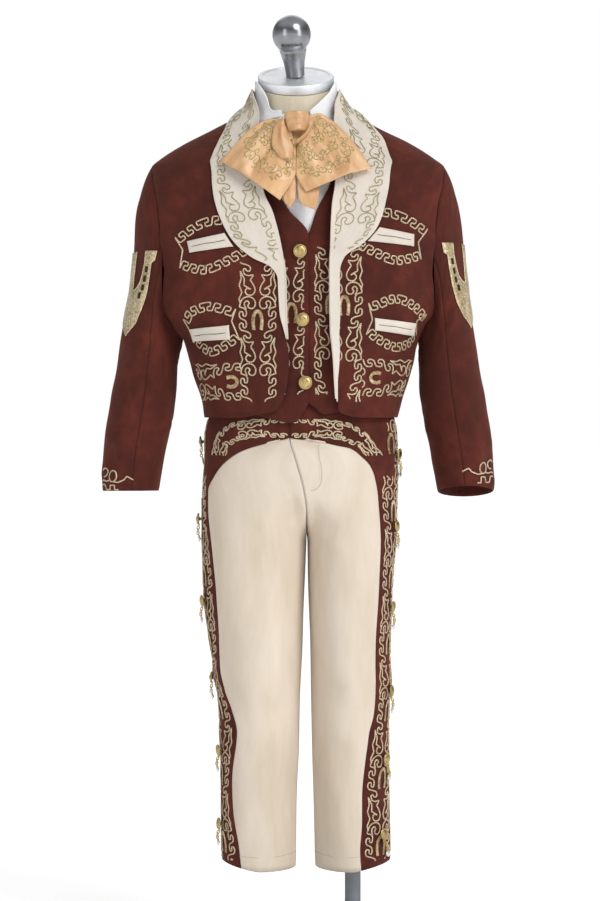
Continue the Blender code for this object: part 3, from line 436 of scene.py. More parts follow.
WINGS = {
    "right": (
        table("s x z", "0 -17.5 840.3, 0.3 -30 840, 0.55 -44 834.5, 1 -79.2 798"),
        table("s x z", "0 -10.5 826, 0.25 -7.2 810, 0.6 -7.1 788, 1 -22.3 760.2"),
    ),
    "left": (
        table("s x z", "0 4.6 843, 0.25 14 846, 0.55 40 826, 1 65.5 791"),
        table("s x z", "0 0 828, 0.3 -6.2 810, 0.65 -6.6 787, 1 2.8 768"),
    ),
}
FOLDS = {
    "right": (
        table("s x z", "0 -18.5 839, 0.3 -27 828, 0.65 -29 812, 1 -21 797"),
        table("s x z", "0 -17.3 833, 0.3 -15 822, 0.65 -9.5 808, 1 -11 797"),
    ),
    "left": (
        table("s x z", "0 9.5 833, 0.5 4 822, 1 -5.5 813"),
        table("s x z", "0 5.3 829, 0.5 -1.5 820, 1 -6.5 816"),
    ),
}
TAILS = {
    "right": (
        table("s x z", "0 -12 840, 0.25 -13 818, 0.5 -18 790, 0.85 -19.5 765, 1 -14.5 754"),
        table("s x z", "0 -3 840, 0.25 -5 818, 0.5 -7 790, 0.85 -7.6 762, 1 -13 753.6"),
    ),
    "left": (
        table("s x z", "0 -8 840, 0.25 -6 818, 0.5 -5.4 790, 0.85 -4.5 765, 1 -1.5 757"),
        table("s x z", "0 2 840, 0.25 5.5 818, 0.5 11 790, 0.85 15.3 766, 1 11.5 751.5"),
    ),
}


# Trousers. A turn runs from the inseam or the centre front, 0, round the outer side, 0.5, to 1 at the back.

CROTCH_Z = 430
HIP_Z = 480
LEG = "z centre half_width half_depth y roundness"
LEGS = {
    -1: table(LEG, """
        100 -44.5 37.6 42 3 2
        168 -44.2 38 43 3 2
        218 -43.5 39.5 45 3 2
        268 -44 41 48.5 4 2
        318 -46.2 45.7 54 4 2
        368 -49 50 60 4 2.15
        430 -48.6 52.2 68 3 2.3
    """),
    1: table(LEG, """
        100 50 38 42 3 2
        168 48.8 38.3 43 3 2
        218 47.8 38.8 45 3 2
        268 47.5 39.5 48.5 4 2
        318 47.3 40 54 4 2
        368 47.3 41.8 60 4 2.15
        430 49.1 44.9 68 3 2.3
    """),
}
CENTRE_FRONT = table("z x", "430 3.9, 455 3.8, 479 1, 513 -8, 531 -13, 560 -14, 588 -14")
BAND_FRONT = {
    # x of the cream front's edge, where the brown yoke and side band begin
    -1: table("z x", """
        100 -60.5, 130 -64.4, 157 -68.8, 190 -70.8, 238 -65.7, 262 -71, 281 -78, 315 -83, 356 -84.5, 416 -89.5
        461 -94, 480 -93.8, 492 -88.7, 504 -80.3, 516 -65.2, 522 -50.5, 528 -26.3, 530.6 -13.2
    """),
    1: table("z x", """
        100 57.5, 125 56.5, 151 58.4, 178 58.6, 213 61.8, 239 65.2, 259 70.3, 282 72.2, 332 72.4, 387 75.2
        432 76.3, 474 74.2, 492 71, 504 66, 514 56.3, 521 46.5, 524 32.9, 528 13.5, 529.8 -11.7
    """),
}
BAND_WIDTH = 56
BUTTON_LINE = 24
LEG_ROWS = np.concatenate(
    [
        [105, 135, 170, 200, 225, 247, 268, 292, 325, 360, 400],
        [430, 436, 446, 462, 480, 492, 503, 512, 519.5, 525, 528.4],
    ]
)
SLANT_Z = 519.5  # above this the front's rows take up the slant of its top edge
YOKE_ROWS = np.array([531.5, 545, 560, 575, 588])
HEM_SIDE_RISE = 7
HEM_DROP = 3
BUTTON_Z = {-1: (527, 450, 369.5, 291, 220, 146), 1: (515, 444, 363.6, 279, 213, 138)}


def trouser_leg(side):
    """The surface of one half of the trousers. Its turn is negative on the wearer's right."""
    legs = LEGS[side]

    def surface(across, up):
        across, up = np.broadcast_arrays(np.asarray(across, float), np.asarray(up, float))
        share = np.abs(across)
        angle = 2 * math.pi * share
        exponent = 2 / read(legs, "roundness", up)
        x = read(legs, "centre", up) - side * read(legs, "half_width", up) * power(np.cos(angle), exponent)
        y = read(legs, "y", up) - read(legs, "half_depth", up) * power(np.sin(angle), exponent)
        leg = np.stack([x, y, up], -1)
        first = turn_at(HIPS, read(CENTRE_FRONT, "x", up) + side * SEAM / 2, up)
        last = side * (180 - 0.12)
        # Low on the hips a turn lies above the same turn of the leg. At the waist it is even again.
        spread = share - 0.125 * np.sin(angle) * (1 - ease(up, HIP_Z - 10, HIP_Z + 50))
        hips = ring(HIPS, first + (last - first) * spread, up)
        # At the seat seams the leg turns out from under the crotch at once, and at the sides it changes evenly.
        rise = np.clip((up - CROTCH_Z) / (HIP_Z - CROTCH_Z), 0, 1)
        at_seam = np.exp(-((np.minimum(share, 1 - share) / 0.1) ** 2))
        change = rise**2 * (3 - 2 * rise)
        change += at_seam * (1 - (1 - rise) ** 2 - change)
        return leg + (hips - leg) * change[..., None]

    return surface


def lengths(side, z):
    """Turns of one half of the trousers, and the length round it up to each, for each height."""
    turn = np.linspace(0, 1, 81)
    around = trouser_leg(side)(side * turn[None, :], np.asarray(z, float)[:, None])
    length = np.cumsum(np.linalg.norm(np.diff(around, axis=1), axis=-1), axis=1)
    return turn, np.concatenate([0 * length[:, :1], length], axis=1)


def further(side, z, start, distance):
    """The turns that lie a distance further round than the given ones."""
    turn, length = lengths(side, z)
    at = [np.interp(s, turn, row) + distance for s, row in zip(start, length)]
    return np.array([np.interp(a, row, turn) for a, row in zip(at, length)])


def turn_reaching(side, x, z):
    """The turn, up to the outer side, at which the front of the trousers reaches x."""
    surface = trouser_leg(side)
    low, high = np.zeros_like(z), np.full_like(z, 0.5)
    for _ in range(30):
        middle = (low + high) / 2
        short = side * (surface(side * middle, z)[..., 0] - x) < 0
        low, high = np.where(short, middle, low), np.where(short, high, middle)
    return middle


def band_edges(side, z):
    """Turns of the side band's front and back edges. Above the hip both run out, over the yoke, to the centres."""
    z = np.asarray(z, float)
    low = np.minimum(z, HIP_Z)
    front = turn_reaching(side, read(BAND_FRONT[side], "x", z), z)
    front = np.where(z > BAND_FRONT[side]["z"].max(), 0, front)
    at_hip = turn_reaching(side, read(BAND_FRONT[side], "x", low), low)
    back = further(side, low, at_hip, BAND_WIDTH)
    return front, np.where(z > HIP_Z, 1 - (1 - back) * front / at_hip, back)


def hemmed(side, across, up):
    """Heights with the hem's slant: the outer side of the hem is higher than its front."""
    rise = HEM_SIDE_RISE * np.clip(np.cos(2 * math.pi * (np.abs(across) - 0.5)), 0, 1) - HEM_DROP
    return up + rise * np.clip((LEG_ROWS[1] - up) / (LEG_ROWS[1] - LEG_ROWS[0]), 0, 1)


# Dress form and stand

FORM_CENTRE_X = -7
FORM_SIDES = 96
CAP_TILT = math.radians(23)  # forward
CAP_TOP = np.array([FORM_CENTRE_X, -2, 891.5])
CAP_RADIUS = 38
CAP_HEIGHT = 10
FINIAL_LEAN = np.array([-0.09, 0, 0])
POLE_X, POLE_Y, POLE_RADIUS = 50, 5, 8
BASE_RADIUS, BASE_HEIGHT = 150, 9
CLEAR = 0.3  # between the form's parts
FORM_ROWS = (492, 520, 560, 620, 680, 740, 778, 793, 805, 818, 832, 845, 858)


# Cloth

# a crease runs from a, z_a to b, z_b, and stands out where its depth is above 0
FOLD = "a z_a b z_b width depth"
# upright lines that a cloth faces away from, as x and y
TRUNK = (-4, 0)
NECK = (-7, 0)


def creases(folds, across, up, reach):
    """How far soft creases push a cloth out, in mm. reach is the length of one unit of across."""
    total = np.zeros(np.broadcast(across, up).shape)
    for a, z_a, b, z_b, width, depth in zip(*folds.values()):
        right, rise = (b - a) * reach, z_b - z_a
        x, z = (across - a) * reach, up - z_a
        share = np.clip((x * right + z * rise) / (right * right + rise * rise), 0, 1)
        away = np.hypot(x - share * right, z - share * rise)
        total = total + depth * (1 - (2 * share - 1) ** 4) * np.exp(-((away / width) ** 2))
    return total


def ripples(across, up, seed, size, depth):
    """The cloth's own slight unevenness, from a few long waves that cross each other."""
    chance = np.random.default_rng(seed)
    total = np.zeros(np.broadcast(across, up).shape)
    for _ in range(7):
        heading, phase = chance.uniform(0, 2 * math.pi, 2)
        length = size * chance.uniform(0.6, 1.8)
        along = across * math.cos(heading) + up * math.sin(heading)
        total = total + np.sin(2 * math.pi * along / length + phase)
    return depth * total / 2.6


def fine(rows, count):
    """The same rows, more of them, with their own spacing kept."""
    return np.interp(np.linspace(0, len(rows) - 1, count), np.arange(len(rows)), rows)


def spread(start, end, share):
    """Rows from start to end, with a column at each share of the way."""
    start, end = np.asarray(start, float)[:, None], np.asarray(end, float)[:, None]
    return start + (end - start) * share


def columns(start, end, count):
    """Rows from start to end with two more columns close to each edge, where the cloth turns under."""
    share = np.concatenate([[0, 0.006, 0.018], np.linspace(0, 1, count)[1:-1], [0.982, 0.994, 1]])
    return spread(start, end, share)


def rounded(profile, count):
    """A profile with its corners softened, count times over."""
    profile = np.array(profile, float)
    for _ in range(count):
        a, b = profile[:-1], profile[1:]
        cut = np.stack([a + 0.25 * (b - a), a + 0.75 * (b - a)], 1).reshape(-1, 2)
        profile = np.concatenate([profile[:1], cut, profile[-1:]])
    return profile


def between(start, end, count):
    """Rows from start to end, in even columns."""
    return spread(start, end, np.linspace(0, 1, count))


def runs(points, axis):
    """Lengths along a grid's rows or columns."""
    step = np.linalg.norm(np.diff(points, axis=axis), axis=-1)
    return np.concatenate([0 * step.take([0], axis), np.cumsum(step, axis=axis)], axis=axis)


def unit(way):
    """A way with a length of 1."""
    return way / np.linalg.norm(way)


def normals(points):
    """Normals of a grid, all on one side of it."""
    found = np.cross(np.gradient(points, axis=1), np.gradient(points, axis=0))
    return found / np.maximum(np.linalg.norm(found, axis=-1, keepdims=True), 1e-9)


def facing(points, core):
    """Normals of a grid that look away from an upright line through core, which may also be a function of height."""
    found = normals(points)
    away = points[..., :2] - (core(points[..., 2]) if callable(core) else core)
    return found * np.sign((found[..., :2] * away).sum())


def measured(path):
    """How far along a path in the plane each of its points lies."""
    return np.concatenate([[0], np.cumsum(np.hypot(*np.diff(path, axis=0).T))])


def sampled(at, run, points):
    """Points that are known along a run, at other places on it."""
    return np.stack([np.interp(at, run, column) for column in points.T], 1)


def added(name, data):
    """A new object in the scene, at the origin."""
    made = bpy.data.objects.new(name, data)
    bpy.context.scene.collection.objects.link(made)
    return made


def piece(name, points, faces, finish, uv=None, crease=None):
    """A new object at the origin from points in millimetres, riding on the one body."""
    mesh = bpy.data.meshes.new(name)
    mesh.from_pydata((np.asarray(points) * MM).tolist(), [], [list(map(int, face)) for face in faces])
    mesh.materials.append(finish)
    if uv is not None:
        corner = np.empty(len(mesh.loops), np.int32)
        mesh.loops.foreach_get("vertex_index", corner)
        mesh.uv_layers.new(name="UVMap").data.foreach_set("uv", uv[corner].astype(np.float32).ravel())
    mesh.shade_smooth()
    if crease is not None:
        mesh.set_sharp_from_angle(angle=math.radians(crease))
    made = added(name, mesh)
    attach(made, "root")
    return made


def wall(name, outer, inner, finish, lip=0.3):
    """A closed wall of cloth between two grids, its edges rounded by the lip. UV is in metres of cloth."""
    turn = np.cross(outer[:-1, 1:] - outer[:-1, :-1], outer[1:, :-1] - outer[:-1, :-1])
    if (turn * (outer - inner)[:-1, :-1]).sum() < 0:
        outer, inner = outer[:, ::-1], inner[:, ::-1]
    rows, cols = outer.shape[:2]
    run = runs(outer, 1)
    u = run - run[:, cols // 2, None]
    v = np.repeat(runs(outer, 0)[:, cols // 2, None], cols, 1)
    middle = (outer + inner) / 2
    face = np.zeros((rows + 2, cols + 2, 3))
    face[1:-1, 1:-1] = outer

    def over(r, c, near_r, near_c):
        away = middle[r, c] - middle[near_r, near_c]
        return middle[r, c] + lip * away / np.maximum(np.linalg.norm(away, axis=-1, keepdims=True), 1e-9)

    every = slice(None)
    face[0, 1:-1], face[-1, 1:-1] = over(0, every, 1, every), over(-1, every, -2, every)
    face[1:-1, 0], face[1:-1, -1] = over(every, 0, every, 1), over(every, -1, every, -2)
    for r in (0, -1):
        for c in (0, -1):
            face[r, c] = over(r, c, 1 if r == 0 else -2, 1 if c == 0 else -2)
    out = np.arange((rows + 2) * (cols + 2)).reshape(rows + 2, cols + 2)
    back = np.arange(rows * cols).reshape(rows, cols) + out.size
    quads = [
        (out[:-1, :-1], out[:-1, 1:], out[1:, 1:], out[1:, :-1]),
        (out[0, 2:-1], out[0, 1:-2], back[0, :-1], back[0, 1:]),
        (out[-1, 1:-2], out[-1, 2:-1], back[-1, 1:], back[-1, :-1]),
        (out[1:-2, 0], out[2:-1, 0], back[1:, 0], back[:-1, 0]),
        (out[2:-1, -1], out[1:-2, -1], back[:-1, -1], back[1:, -1]),
        (out[0, 1], out[0, 0], out[1, 0], back[0, 0]),
        (out[1, -1], out[0, -1], out[0, -2], back[0, -1]),
        (out[-2, 0], out[-1, 0], out[-1, 1], back[-1, 0]),
        (out[-1, -2], out[-1, -1], out[-2, -1], back[-1, -1]),
        (back[:-1, :-1], back[1:, :-1], back[1:, 1:], back[:-1, 1:]),
    ]
    faces = np.concatenate([np.stack([corner.ravel() for corner in quad], 1) for quad in quads])
    uv = [np.pad(u, 1, "edge"), np.pad(v, 1, "edge")]
    uv = np.concatenate([np.stack(uv, -1).reshape(-1, 2), np.stack([u, v], -1).reshape(-1, 2)]) * MM
    points = np.concatenate([face.reshape(-1, 3), inner.reshape(-1, 3)])
    return piece(name, points, faces, finish, uv)


def sewn(node, outer, inner, finish, slot, held, rests_on=(), lip=0.3):
    """A sewn piece that stands for its solid, which it hides. The rectangle that its cut lies in is worked out."""
    made = wall(node + "_cloth", outer, inner, finish, lip)
    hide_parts(node)
    width, length = (max(0.0102, runs(outer, axis).max() * MM) for axis in (1, 0))
    return made


def panel(node, surface, across, up, thickness, finish, slot, push=None, lift=0.0, dip=0.45, core=TRUNK, **more):
    """A panel of cloth on a surface, by grids of its two coordinates. push gives its creases."""
    across, up = np.broadcast_arrays(np.asarray(across, float), np.asarray(up, float))
    points = surface(across, up)
    edge = np.zeros(across.shape)
    for k, share in enumerate((1, 0.55, 0.12)):
        edge[:, [k, -1 - k]] = np.maximum(edge[:, [k, -1 - k]], share)
    edge[[0, -1]] = np.maximum(edge[[0, -1]], 0.8)
    out = lift - dip * edge + (push(across, up) if push else 0)
    outer = points + out[..., None] * facing(points, core)
    return sewn(node, outer, outer - thickness * facing(outer, core), finish, slot, **more)


class Chart:
    """The face of a cloth as a grid of points over two even axes, for the work that lies on it."""

    def __init__(self, us, vs, points, core):
        self.us, self.vs, self.points = us, vs, points
        self.normals = facing(points, core)

    def at(self, u, v, lift=0.0):
        """Points and normals at places on the chart, lift above the cloth."""
        i = np.clip((u - self.us[0]) / (self.us[1] - self.us[0]), 0, len(self.us) - 1.001)
        j = np.clip((v - self.vs[0]) / (self.vs[1] - self.vs[0]), 0, len(self.vs) - 1.001)
        i0, j0 = i.astype(int), j.astype(int)
        p, q = (i - i0)[..., None], (j - j0)[..., None]

        def mixed(grid):
            low = grid[j0, i0] * (1 - p) + grid[j0, i0 + 1] * p
            high = grid[j0 + 1, i0] * (1 - p) + grid[j0 + 1, i0 + 1] * p
            return low * (1 - q) + high * q

        normal = mixed(self.normals)
        normal /= np.linalg.norm(normal, axis=-1, keepdims=True)
        return mixed(self.points) + np.asarray(lift)[..., None] * normal, normal

    def across_to(self, x, z):
        """The place across the chart where it passes x, at a height on a chart whose second axis is height."""
        level = (np.clip(z, self.vs[0], self.vs[-1]) - self.vs[0]) / (self.vs[1] - self.vs[0])
        row = self.points[int(round(level))][:, 0]
        order = np.argsort(row)
        return float(np.interp(x, row[order], self.us[order]))


def chart(surface, start, stop, zero, z, width, core, push=None, step=2.0):
    """A chart of a layer: u is the length round it from the turn zero, from start to stop turns at each height z."""
    share = np.linspace(0, 1, 120)
    turn = start[:, None] + (stop - start)[:, None] * share
    points = surface(turn, z[:, None])
    if push:
        points = points + push(turn, z[:, None])[..., None] * facing(points, core)
    length = runs(points, 1)
    us = np.arange(width[0], width[1] + step, step)
    level = []
    for row in range(len(z)):
        order = np.argsort(turn[row])
        origin = np.interp(zero[row], turn[row][order], length[row][order])
        level.append(sampled(us, length[row] - origin, points[row]))
    return Chart(us, z, np.array(level), core)


# Finishes


def linear(*cards):
    """Colours as the shader takes them, from the 0 to 255 of a colour card."""
    for card in cards:
        card = np.array(card) / 255
        yield (*np.where(card < 0.04045, card / 12.92, ((card + 0.055) / 1.055) ** 2.4).tolist(), 1.0)


class Finish:
    """A material in the making: its shader and the nodes that feed it."""

    def __init__(self, name, **values):
        self.made = bpy.data.materials.new(name)
        self.made.use_nodes = True
        self.tree = self.made.node_tree
        self.shader = self.tree.nodes["Principled BSDF"]
        self.feed(self.shader, {key.replace("_", " "): value for key, value in values.items()})

    def feed(self, node, sockets):
        for key, value in sockets.items():
            socket = node.inputs[key]
            if isinstance(value, bpy.types.NodeSocket):
                self.tree.links.new(value, socket)
            else:
                socket.default_value = value

    def node(self, kind, sockets=None, **settings):
        made = self.tree.nodes.new("ShaderNode" + kind)
        for key, value in settings.items():
            setattr(made, key, value)
        self.feed(made, sockets or {})
        return made

    def place(self, source="Object", scale=(1, 1, 1), turn=0.0):
        """Coordinates in the given units of a metre, turned about their last axis."""
        coordinate = self.node("TexCoord").outputs[source]
        sockets = {"Vector": coordinate, "Scale": scale, "Rotation": (0, 0, turn)}
        return self.node("Mapping", sockets).outputs[0]

    def noise(self, vector, scale, detail=3.0, roughness=0.5):
        sockets = {"Vector": vector, "Scale": scale, "Detail": detail, "Roughness": roughness}
        return self.node("TexNoise", sockets).outputs["Fac"]

    def wave(self, vector, scale, distortion=0.0, direction="X"):
        sockets = {"Vector": vector, "Scale": scale, "Distortion": distortion, "Detail": 1.0}
        return self.node("TexWave", sockets, bands_direction=direction).outputs["Fac"]

    def ramp(self, value, *stops):
        made = self.node("ValToRGB", {"Fac": value})
        while len(made.color_ramp.elements) < len(stops):
            made.color_ramp.elements.new(0.5)
        for element, (place, colour) in zip(made.color_ramp.elements, stops):
            element.position, element.color = place, colour
        return made.outputs["Color"]

    def mix(self, share, first, second):
        made = self.node("Mix", data_type="RGBA", blend_type="MIX")
        self.feed(made, {0: share, 6: first, 7: second})
        return made.outputs[2]

    def maths(self, operation, first, second=0.0, third=0.0):
        made = self.node("Math", operation=operation)
        self.feed(made, {0: first, 1: second, 2: third})
        return made.outputs[0]

    def bump(self, height, distance, strength=1.0, under=None):
        sockets = {"Height": height, "Distance": distance, "Strength": strength}
        if under is not None:
            sockets["Normal"] = under
        return self.node("Bump", sockets).outputs[0]

    def wear(self, **sockets):
        self.feed(self.shader, {key.replace("_", " "): value for key, value in sockets.items()})
        return self.made


class Sky(Finish):
    """The light of the room, made with the same nodes."""

    def __init__(self, name):
        self.made = bpy.data.worlds.new(name)
        self.made.use_nodes = True
        self.tree = self.made.node_tree
        self.shader = self.tree.nodes["Background"]


def woven(name, deep, mid, light, pitch, roughness, sheen, sheen_tint, nap=0.0, depth=0.00012, patches=(9.0, 60.0)):
    """A cloth with a fine diagonal weave, soft patches of colour and some nap."""
    deep, mid, light, sheen_tint = linear(deep, mid, light, sheen_tint)
    cloth = Finish(name, Sheen_Weight=sheen, Sheen_Roughness=0.45, Sheen_Tint=sheen_tint, Specular_IOR_Level=0.25)
    thread = cloth.place("UV")
    solid = cloth.place()
    weave = cloth.wave(cloth.place("UV", turn=math.radians(62)), 0.314 / pitch, 0.6)
    cross = cloth.wave(thread, 0.45 / pitch, 0.4, "Y")
    slub = cloth.noise(cloth.place("UV", scale=(1, 0.08, 1)), 1100.0, 2.0)
    patch = cloth.noise(solid, patches[0], 2.0, 0.55)
    streak = cloth.noise(cloth.place("UV", scale=(1, 0.22 + 0.55 * nap, 1)), patches[1], 4.0, 0.6)
    grain = cloth.noise(thread, 1900.0, 3.0, 0.7)
    tone = cloth.maths("MULTIPLY_ADD", streak, 0.55, cloth.maths("MULTIPLY", patch, 0.45))
    colour = cloth.ramp(tone, (0.3, deep), (0.5, mid), (0.7, light))
    colour = cloth.mix(0.10 + 0.25 * nap, colour, cloth.ramp(grain, (0.3, deep), (0.75, light)))
    colour = cloth.mix(cloth.maths("MULTIPLY", slub, 0.12), colour, light)
    height = cloth.maths("MULTIPLY_ADD", weave, 0.7, cloth.maths("MULTIPLY", cross, 0.35))
    height = cloth.maths("MULTIPLY_ADD", grain, 0.5 + nap, height)
    normal = cloth.bump(height, depth)
    normal = cloth.bump(cloth.noise(solid, 45.0, 3.0, 0.5), 0.0009, 0.35, normal)
    rough = cloth.maths("MULTIPLY_ADD", grain, 0.12, roughness - 0.06)
    return cloth.wear(Base_Color=colour, Roughness=rough, Normal=normal)


def finish_satin():
    """Peach satin: long floats that catch the light along one way, over small soft dents."""
    cloth = Finish("peach_satin", Sheen_Weight=0.25, Sheen_Roughness=0.3, Anisotropic=0.55, Specular_IOR_Level=0.6)
    tint, *peach_and_fold_shade = linear((255, 226, 190), (178, 128, 82), (208, 165, 117), (228, 192, 150), (180, 124, 76),
                         (232, 196, 154))
    cloth.feed(cloth.shader, {"Sheen Tint": tint})
    # Streaks at random run from peach to a darker brown, which stands in for the shade of the satin's folds without
    # lying at them: partly the satin's own tone, partly painted shade.
    tone = cloth.noise(cloth.place("UV", scale=(1, 0.3, 1)), 55.0, 3.0, 0.55)
    colour = cloth.ramp(tone, *zip((0.3, 0.52, 0.75), peach_and_fold_shade))
    thread = cloth.noise(cloth.place("UV", scale=(1, 0.05, 1)), 2200.0, 2.0, 0.6)
    colour = cloth.mix(0.12, colour, cloth.ramp(thread, *zip((0.35, 0.7), peach_and_fold_shade[3:])))
    dents = cloth.noise(cloth.place("UV", scale=(1, 0.5, 1)), 85.0, 3.0, 0.55)
    normal = cloth.bump(thread, 0.00004)
    normal = cloth.bump(dents, 0.0016, 0.5, normal)
    rough = cloth.maths("MULTIPLY_ADD", thread, 0.16, 0.3)
    return cloth.wear(Base_Color=colour, Roughness=rough, Normal=normal)


def finish_cord(name, dark, mid, pale, metallic, pitch):
    """A cord of twisted metallic thread. The run attribute is the length along it and around the angle about it."""
    dark, mid, pale = linear(dark, mid, pale)
    cord = Finish(name, Metallic=metallic, Specular_IOR_Level=0.5)
    run = cord.node("Attribute", attribute_name="run").outputs["Fac"]
    around = cord.node("Attribute", attribute_name="around").outputs["Fac"]
    twist = cord.maths("MULTIPLY_ADD", run, 2 * math.pi / pitch, cord.maths("MULTIPLY", around, 2 * math.pi * 2))
    strand = cord.maths("MULTIPLY_ADD", cord.maths("SINE", twist), 0.5, 0.5)
    glint = cord.noise(cord.place(), 420.0, 2.0, 0.6)
    # The colour follows the twist as the bump does, darker in its grooves and paler on its crowns: painted shade.
    tone = cord.maths("MULTIPLY_ADD", strand, 0.45, cord.maths("MULTIPLY", glint, 0.55))
    colour = cord.ramp(tone, (0.18, dark), (0.48, mid), (0.75, pale))
    normal = cord.bump(strand, 0.00035)
    rough = cord.maths("MULTIPLY_ADD", glint, -0.3, 0.62)
    return cord.wear(Base_Color=colour, Roughness=rough, Normal=normal)


def finish_thread(name, dark, mid, pale):
    """Flat metallic embroidery thread in satin stitch."""
    dark, mid, pale = linear(dark, mid, pale)
    thread = Finish(name, Metallic=0.55, Specular_IOR_Level=0.6)
    glint = thread.noise(thread.place(), 520.0, 3.0, 0.65)
    soft = thread.noise(thread.place(), 70.0, 2.0)
    tone = thread.maths("MULTIPLY_ADD", glint, 0.7, thread.maths("MULTIPLY", soft, 0.3))
    colour = thread.ramp(tone, (0.32, dark), (0.5, mid), (0.68, pale))
    rough = thread.maths("MULTIPLY_ADD", glint, -0.35, 0.58)
    return thread.wear(Base_Color=colour, Roughness=rough, Normal=thread.bump(glint, 0.0002, 0.6))


def finish_metal(name, dark, light, roughness, tarnish, brushed=0.0):
    """A plated metal with dull places in its hollows and fine scratches."""
    dark, light = linear(dark, light)
    metal = Finish(name, Metallic=1.0)
    cloud = metal.noise(metal.place(), 130.0, 4.0, 0.6)
    fine_marks = metal.noise(metal.place(scale=(1, 1, 9)), 500.0, 3.0, 0.7)
    colour = metal.mix(metal.maths("MULTIPLY", cloud, tarnish), light, dark)
    rough = metal.maths("MULTIPLY_ADD", cloud, 0.16, roughness - 0.06)
    rough = metal.maths("MULTIPLY_ADD", fine_marks, 0.12 + brushed, rough)
    normal = metal.bump(fine_marks, 0.00003 + 0.00004 * brushed, 0.5)
    return metal.wear(Base_Color=colour, Roughness=rough, Normal=normal)


def finishes():
    return {
        "brown": woven("brown_suede", (40, 16, 14), (71, 28, 21), (103, 44, 31), 0.0008, 0.92, 0.22,
                       (190, 110, 84), nap=1.0, patches=(20.0, 70.0)),
        "cream": woven("cream_cloth", (190, 174, 150), (212, 198, 180), (228, 216, 202), 0.0007,
                       0.84, 0.2, (255, 244, 228), patches=(7.0, 30.0)),
        # A paler, greyer copy of the cream cloth, for the collar and the welts, so that they look brighter: painted
        # light.
        "collar": woven("cream_cloth_painted_light", (198, 188, 175), (215, 206, 193), (228, 219, 208), 0.0006,
                        0.74, 0.25, (255, 248, 238), patches=(12.0, 40.0)),
        "shirt": woven("white_shirting", (226, 226, 230), (240, 240, 242), (248, 248, 250), 0.0005,
                       0.8, 0.15, (255, 255, 255), depth=0.00006, patches=(14.0, 50.0)),
        "linen": woven("form_linen", (196, 184, 160), (212, 201, 178), (226, 216, 196), 0.001, 0.9,
                       0.1, (255, 250, 235), depth=0.0002, patches=(16.0, 70.0)),
        "satin": finish_satin(),
        "cord": finish_cord("gold_thread_cord", (150, 120, 76), (214, 192, 154), (250, 238, 212), 0.35, 0.0022),
        "fine_cord": finish_cord("gold_thread_fine", (146, 134, 86), (190, 178, 126), (222, 212, 168),
                                 0.4, 0.0014),
        "thread": finish_thread("gold_thread_satin", (118, 96, 62), (190, 168, 128), (244, 232, 206)),
        "pale_thread": finish_thread("gold_thread_pale", (150, 138, 98), (204, 194, 156), (238, 232, 206)),
        "bow_cord": finish_cord("gold_thread_bow", (136, 122, 66), (190, 176, 108), (232, 220, 166), 0.4,
                                0.0014),
        "cream_thread": finish_thread("cream_thread", (170, 156, 132), (200, 186, 160), (218, 206, 184)),
        "antique": finish_metal("antique_gold", (46, 32, 14), (214, 190, 134), 0.25, 0.95),
        "silver": finish_metal("silver_metal", (120, 118, 112), (226, 224, 218), 0.2, 0.4),
        "gold": finish_metal("gold_metal", (120, 88, 34), (226, 202, 138), 0.26, 0.5),
        "steel": finish_metal("polished_steel", (58, 60, 64), (158, 160, 164), 0.14, 0.55),
        "stand": finish_metal("polished_steel_stand", (70, 72, 75), (140, 143, 147), 0.45, 0.3, 0.2),
        "brushed": finish_metal("polished_steel_brushed", (160, 163, 166), (236, 238, 240), 0.3, 0.35, 0.2),
        # A darker greige than the cream cloth, laid as braid along the fly and the hems: painted shade in their grooves
        # and along the fly's lap.
        "lap": woven("cream_painted_groove_shade", (160, 150, 138), (178, 168, 156), (194, 184, 172), 0.0007, 0.86, 0.1,
                     (255, 244, 228)),
        "window": woven("window_shadow", (26, 19, 12), (40, 30, 18), (58, 46, 28), 0.0006, 0.9, 0.1,
                        (120, 100, 70)),
        "hole": woven("slit_shadow", (70, 60, 50), (96, 84, 72), (120, 108, 94), 0.0006, 0.9, 0.1,
                      (255, 255, 255)),
    }


# Jacket

# the wearer's right front and side, then the left ones, then the back
JACKET_FOLDS = table(FOLD, """
    -60 775 -38 742 7 1.3
    -74 735 -46 712 9 1.6
    -78 700 -52 688 8 -1.3
    -80 668 -50 655 8 1.2
    -82 640 -60 606 9 1.6
    -86 612 -62 566 10 -1.6
    -30 600 -24 556 9 -0.9
    62 772 40 744 7 1.1
    76 732 50 716 9 1.5
    80 696 56 690 8 -1.2
    82 662 56 648 9 1.3
    84 636 64 596 8 1.5
    88 606 66 562 10 -1.5
    36 604 42 558 9 -0.8
    118 768 150 742 9 1.4
    -116 764 -146 736 10 1.5
    108 650 140 640 10 -1.4
    -110 646 -138 634 9 -1.5
    160 640 168 560 12 1.6
    -158 650 -166 562 11 1.4
    120 622 128 560 10 1.7
    -124 616 -130 562 11 1.6
    179 700 178 610 12 -1.0
""")
JACKET_REACH = 1.95  # mm to a degree, round the jacket


def jacket_push(turn, z):
    turn = np.where(turn > 180, turn - 360, turn)
    return 1.2 * creases(JACKET_FOLDS, turn, z, JACKET_REACH) + ripples(turn * JACKET_REACH, z, 3, 46, 0.22)


